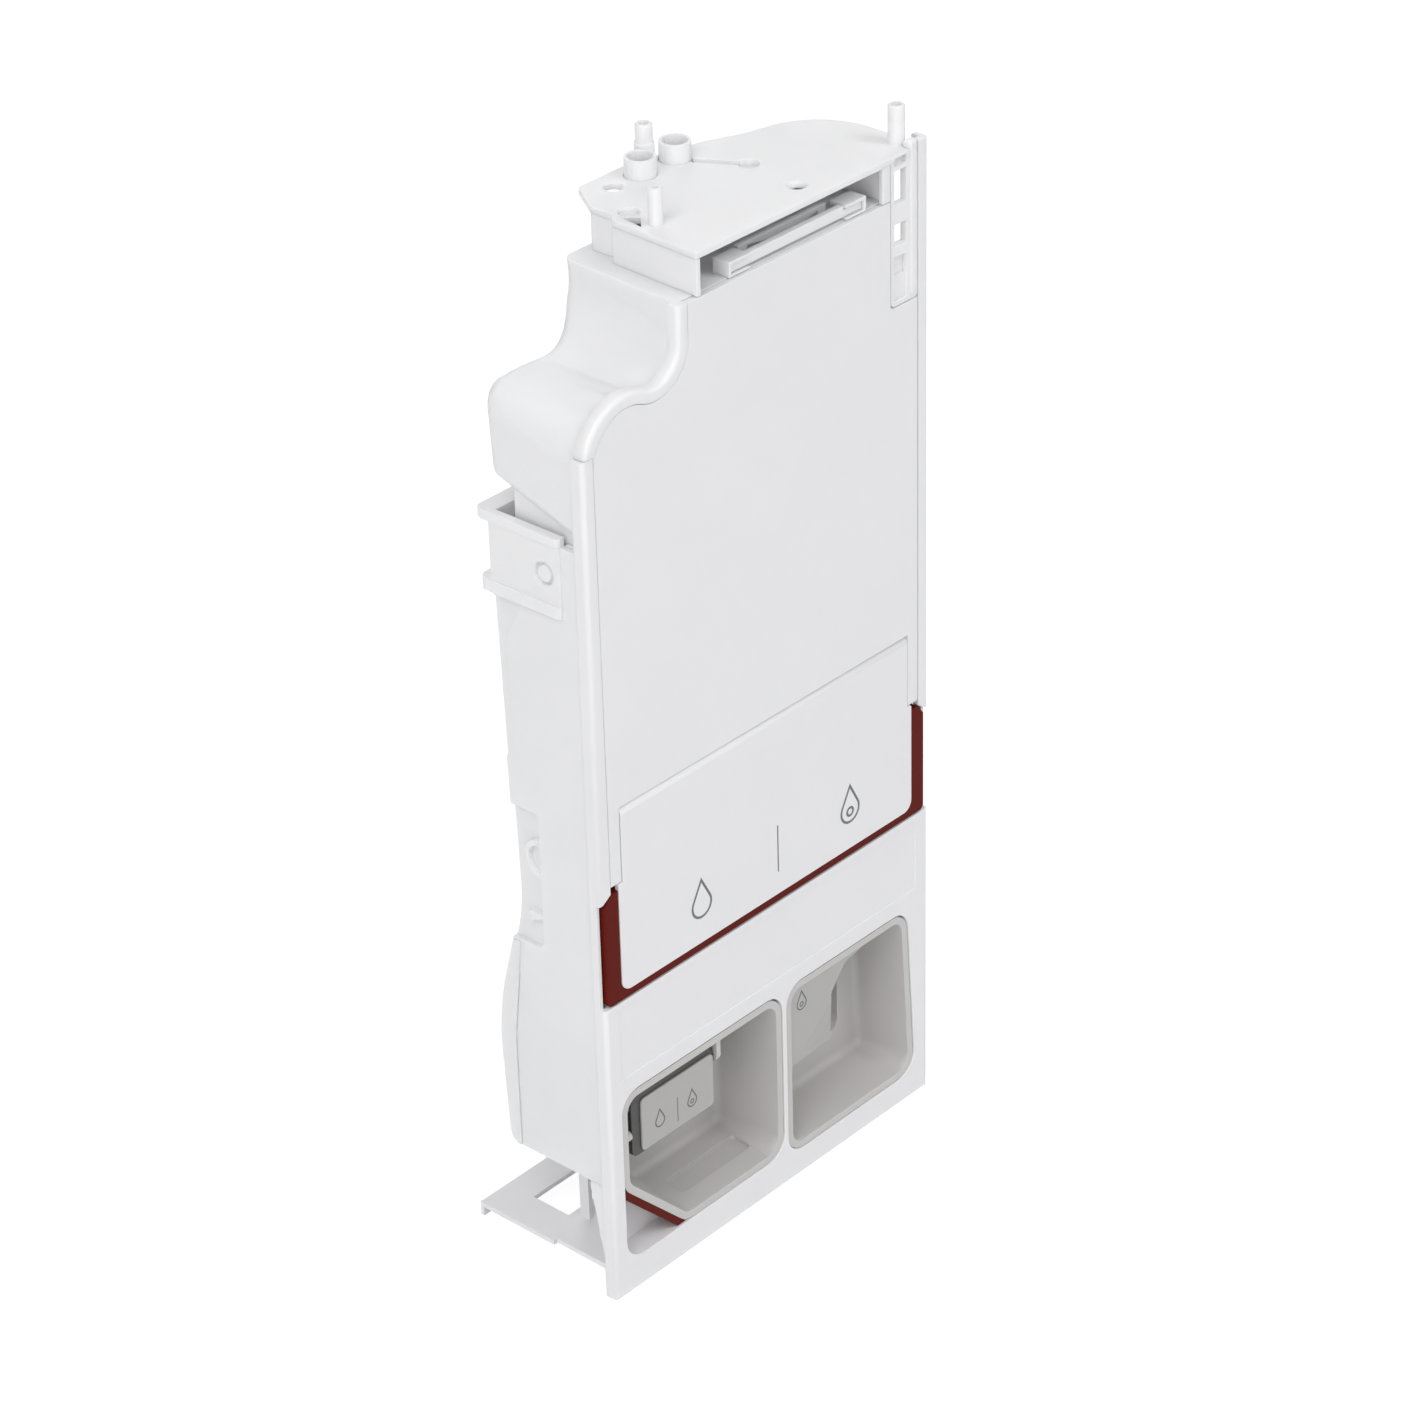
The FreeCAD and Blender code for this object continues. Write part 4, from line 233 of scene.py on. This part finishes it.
LOOKS = {
    "white_face": ["drawer_frame", "tank_cover", "flap_panel"],
    "white_shell": ["tray_shell", "tray_rear_cover", "tank_body", "rear_head", "head_skirt",
                    "outlet_sockets", "guide_column", "bar_guides", "release_bar",
                    "valve_poppet_detergent", "valve_poppet_softener"],
    "cup_grey": ["manual_cup", "softener_cup"],
    "pale_grey": ["liquid_flap_label", "siphon_cover"],
    "dark_grey": ["liquid_flap"],
    "red": ["flap_carrier", "cup_grip"],
    "rubber": ["port_seals", "flap_seal", "valve_seal_detergent", "valve_seal_softener"],
    "steel": ["release_spring", "valve_spring_detergent", "valve_spring_softener"],
}


def dress(node, look, width):
    """Give a CAD node its material and softly broken edges."""
    node.data.materials.clear()
    node.data.materials.append(materials[look])
    if not width:
        return
    weld = node.modifiers.new("weld", "WELD")
    weld.merge_threshold = WELD_GAP * MM
    bevel = node.modifiers.new("bevel", "BEVEL")
    bevel.width = width * MM
    bevel.segments = EDGE_SEGMENTS
    bevel.limit_method = "ANGLE"
    bevel.angle_limit = EDGE_ANGLE
    bevel.use_clamp_overlap = False
    bevel.loop_slide = False
    bevel.harden_normals = True


for look, names in LOOKS.items():
    for name in names:
        dress(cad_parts[name], look, EDGE_OF_NODE.get(name, EDGE_OF_LOOK.get(look, EDGE)))


def ribbon(points, width, closed):
    """Outline pairs either side of a line through points (x, z), mitred at its corners."""
    count = len(points)
    pairs = []
    for index, point in enumerate(points):
        here = Vector(point)
        ways = []
        if closed or index:
            ways.append((here - Vector(points[index - 1])).normalized())
        if closed or index < count - 1:
            ways.append((Vector(points[(index + 1) % count]) - here).normalized())
        along = sum(ways, Vector((0, 0))).normalized()
        side = Vector((-along.y, along.x))
        reach = width / 2 / max(MITRE_LIMIT, ways[0].dot(along))
        pairs.append((here + side * reach, here - side * reach))
    return pairs


def line(x, top, foot, width):
    """Upright stroke. Every stroke is its points, its width and whether it is closed."""
    return [(x, top), (x, foot)], width, False


def drop(x, z, radius, width):
    """Outline of a drop: a circle with straight flanks up to its tip."""
    half = math.acos(1 / DROP_RISE)
    start, end = math.pi / 2 - half, math.pi / 2 + half - 2 * math.pi
    angles = [start + (end - start) * step / DROP_STEPS for step in range(DROP_STEPS + 1)]
    round_part = [(x + radius * math.cos(a), z + radius * math.sin(a)) for a in angles]
    return round_part + [(x, z + radius * DROP_RISE)], width, True


def ring(x, z, radius, width):
    angles = [2 * math.pi * step / RING_STEPS for step in range(RING_STEPS)]
    return [(x + radius * math.cos(a), z + radius * math.sin(a)) for a in angles], width, True


def printed(name, strokes, depth, body):
    """Thin print on a face that looks along -Y."""
    mesh = bmesh.new()
    y = depth - PRINT_LIFT
    for points, width, closed in strokes:
        rows = []
        for pair in ribbon(points, width, closed):
            rows.append([mesh.verts.new((u.x * MM, y * MM, u.y * MM)) for u in pair])
        following = rows[1:] + rows[:1] if closed else rows[1:]
        for first, second in zip(rows, following):
            mesh.faces.new((first[0], first[1], second[1], second[0]))
    bmesh.ops.recalc_face_normals(mesh, faces=mesh.faces)
    piece = placed(name, mesh)
    piece.data.materials.append(materials["print"])
    thick = piece.modifiers.new("thickness", "SOLIDIFY")
    thick.thickness = PRINT_LIFT * MM
    thick.offset = 0
    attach(piece, body)


printed("flap_divider", [line(x=3.8, top=161.0, foot=141.2, width=0.6)], FACE_Y, "flap")
printed("flap_mark_detergent", [drop(x=-38.0, z=147.6, radius=5.0, width=1.0)], FACE_Y, "flap")
printed("flap_mark_softener",
        [drop(x=44.5, z=148.2, radius=5.0, width=1.0), ring(x=44.5, z=147.6, radius=1.7, width=1.0)],
        FACE_Y, "flap")
printed("label_divider", [line(x=-51.2, top=69.4, foot=58.7, width=0.4)], LABEL_Y, "liquid_flap")
printed("label_mark_left", [drop(x=-60.8, z=64.2, radius=2.4, width=0.6)], LABEL_Y, "liquid_flap")
printed("label_mark_right",
        [drop(x=-43.3, z=63.6, radius=2.4, width=0.6), ring(x=-43.3, z=63.4, radius=0.8, width=0.5)],
        LABEL_Y, "liquid_flap")
printed("siphon_mark",
        [drop(x=17.0, z=75.8, radius=2.6, width=0.6), ring(x=17.0, z=75.5, radius=0.9, width=0.5)],
        SIPHON_Y, "drawer")


def skinned(name, sections, smooth):
    """Closed steel piece through sections of points, standing on the drawer."""
    mesh = bmesh.new()
    rows = [[mesh.verts.new(Vector(point) * MM) for point in section] for section in sections]
    for first, second in zip(rows, rows[1:]):
        for index in range(len(first)):
            after = (index + 1) % len(first)
            mesh.faces.new((first[index], first[after], second[after], second[index]))
    mesh.faces.new(rows[0])
    mesh.faces.new(rows[-1])
    bmesh.ops.recalc_face_normals(mesh, faces=mesh.faces)
    piece = placed(name, mesh)
    piece.data.materials.append(materials["steel"])
    piece.data.polygons.foreach_set("use_smooth", [smooth] * len(piece.data.polygons))
    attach(piece, "drawer")
    return piece


def coil_sections(x):
    """Sections of the round wire along a valve spring."""
    count = COIL_TURNS * COIL_STEPS
    sections = []
    for step in range(count + 1):
        turn = 2 * math.pi * step / COIL_STEPS
        middle = COIL_FOOT + WIRE_R + (COIL_HEIGHT - 2 * WIRE_R) * step / count
        section = []
        for side in range(WIRE_SIDES):
            angle = 2 * math.pi * side / WIRE_SIDES
            reach = COIL_R + WIRE_R * math.cos(angle)
            section.append((x + reach * math.cos(turn), COIL_Y + reach * math.sin(turn),
                            middle + WIRE_R * math.sin(angle)))
        sections.append(section)
    return sections


def leaf_sections():
    """Sections of the flat strip along the bow of the leaf spring."""
    bow = LEAF_BOW - LEAF
    radius = (LEAF_HALF ** 2 + bow ** 2) / (2 * bow)
    centre_y = LEAF_BACK - LEAF_BOW + radius
    widest = math.asin(LEAF_HALF / radius)
    low, high = LEAF_Z
    sections = []
    for step in range(LEAF_STEPS + 1):
        angle = widest * (2 * step / LEAF_STEPS - 1)
        x, y = LEAF_X + radius * math.sin(angle), centre_y - radius * math.cos(angle)
        sections.append([(x, y, low), (x, y, high), (x, y + LEAF, high), (x, y + LEAF, low)])
    return sections


for liquid, x in COIL_X.items():
    coil = skinned("valve_coil_" + liquid, coil_sections(x), True)
    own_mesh(coil)
    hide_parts("valve_spring_" + liquid)
leaf = skinned("release_leaf", leaf_sections(), False)
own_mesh(leaf)
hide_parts("release_spring")


def lamp(name, place, diameter, power):
    """Round soft lamp that looks at the object."""
    data = bpy.data.lights.new(name, "AREA")
    data.shape = "DISK"
    data.size = diameter
    data.energy = power
    obj = linked(name, data)
    obj.location = place
    obj.rotation_mode = "QUATERNION"
    obj.rotation_quaternion = (Vector(LAMP_TARGET) - obj.location).to_track_quat("-Z", "Y")


def pale_ray(tree):
    """1 for rays that look at the background: camera, glossy and transmission rays."""
    path = tree.nodes.new("ShaderNodeLightPath")
    first = tree.nodes.new("ShaderNodeMath")
    second = tree.nodes.new("ShaderNodeMath")
    for node in (first, second):
        node.operation = "MAXIMUM"
    tree.links.new(path.outputs["Is Camera Ray"], first.inputs[0])
    tree.links.new(path.outputs["Is Glossy Ray"], first.inputs[1])
    tree.links.new(first.outputs[0], second.inputs[0])
    tree.links.new(path.outputs["Is Transmission Ray"], second.inputs[1])
    return second.outputs[0]


def backdrop():
    """World that looks white and lights the object more dimly."""
    world = bpy.data.worlds.new("studio")
    bpy.context.scene.world = world
    world.use_nodes = True
    tree = world.node_tree
    level = add(tree, "ShaderNodeMapRange", To_Min=ROOM_LIGHT, To_Max=ROOM_WHITE)
    tree.links.new(pale_ray(tree), level.inputs["Value"])
    tree.nodes["Background"].inputs["Color"].default_value = (1, 1, 1, 1)
    tree.links.new(level.outputs["Result"], tree.nodes["Background"].inputs["Strength"])


def floor():
    """Round pale floor that looks white and keeps the object's shadow."""
    mesh = bmesh.new()
    bmesh.ops.create_circle(mesh, cap_ends=True, segments=FLOOR_SIDES, radius=FLOOR_RADIUS)
    obj = placed("floor", mesh)
    made = bpy.data.materials.new("floor")
    made.use_nodes = True
    tree = made.node_tree
    matt = tree.nodes["Principled BSDF"]
    matt.inputs["Base Color"].default_value = FLOOR_COLOUR
    matt.inputs["Roughness"].default_value = FLOOR_ROUGH
    glow = add(tree, "ShaderNodeEmission", Strength=FLOOR_GLOW)
    mix = tree.nodes.new("ShaderNodeMixShader")
    share = add(tree, "ShaderNodeMapRange", To_Min=0.0, To_Max=FLOOR_GLOW_SHARE)
    tree.links.new(pale_ray(tree), share.inputs["Value"])
    tree.links.new(share.outputs["Result"], mix.inputs["Fac"])
    tree.links.new(matt.outputs["BSDF"], mix.inputs[1])
    tree.links.new(glow.outputs["Emission"], mix.inputs[2])
    tree.links.new(mix.outputs["Shader"], tree.nodes["Material Output"].inputs["Surface"])
    obj.data.materials.append(made)


def camera():
    """Camera at the photograph's viewpoint."""
    forward = Vector((-math.sin(AZIMUTH) * math.cos(ELEVATION),
                      math.cos(AZIMUTH) * math.cos(ELEVATION),
                      -math.sin(ELEVATION)))
    level = forward.cross(Vector((0, 0, 1))).normalized()
    upright = level.cross(forward)
    right = level * math.cos(ROLL) + upright * math.sin(ROLL)
    up = upright * math.cos(ROLL) - level * math.sin(ROLL)
    data = bpy.data.cameras.new("camera")
    data.sensor_width = SENSOR
    data.lens = LENS
    data.clip_start, data.clip_end = CLIP_NEAR, CLIP_FAR
    obj = linked("camera", data)
    turn = Matrix((right, up, -forward)).transposed().to_4x4()
    obj.matrix_world = Matrix.Translation(EYE) @ turn
    bpy.context.scene.camera = obj


for name, (place, diameter, power) in LAMPS.items():
    lamp(name, place, diameter, power)
backdrop()
floor()
camera()
bpy.context.scene.view_settings.view_transform = "Standard"
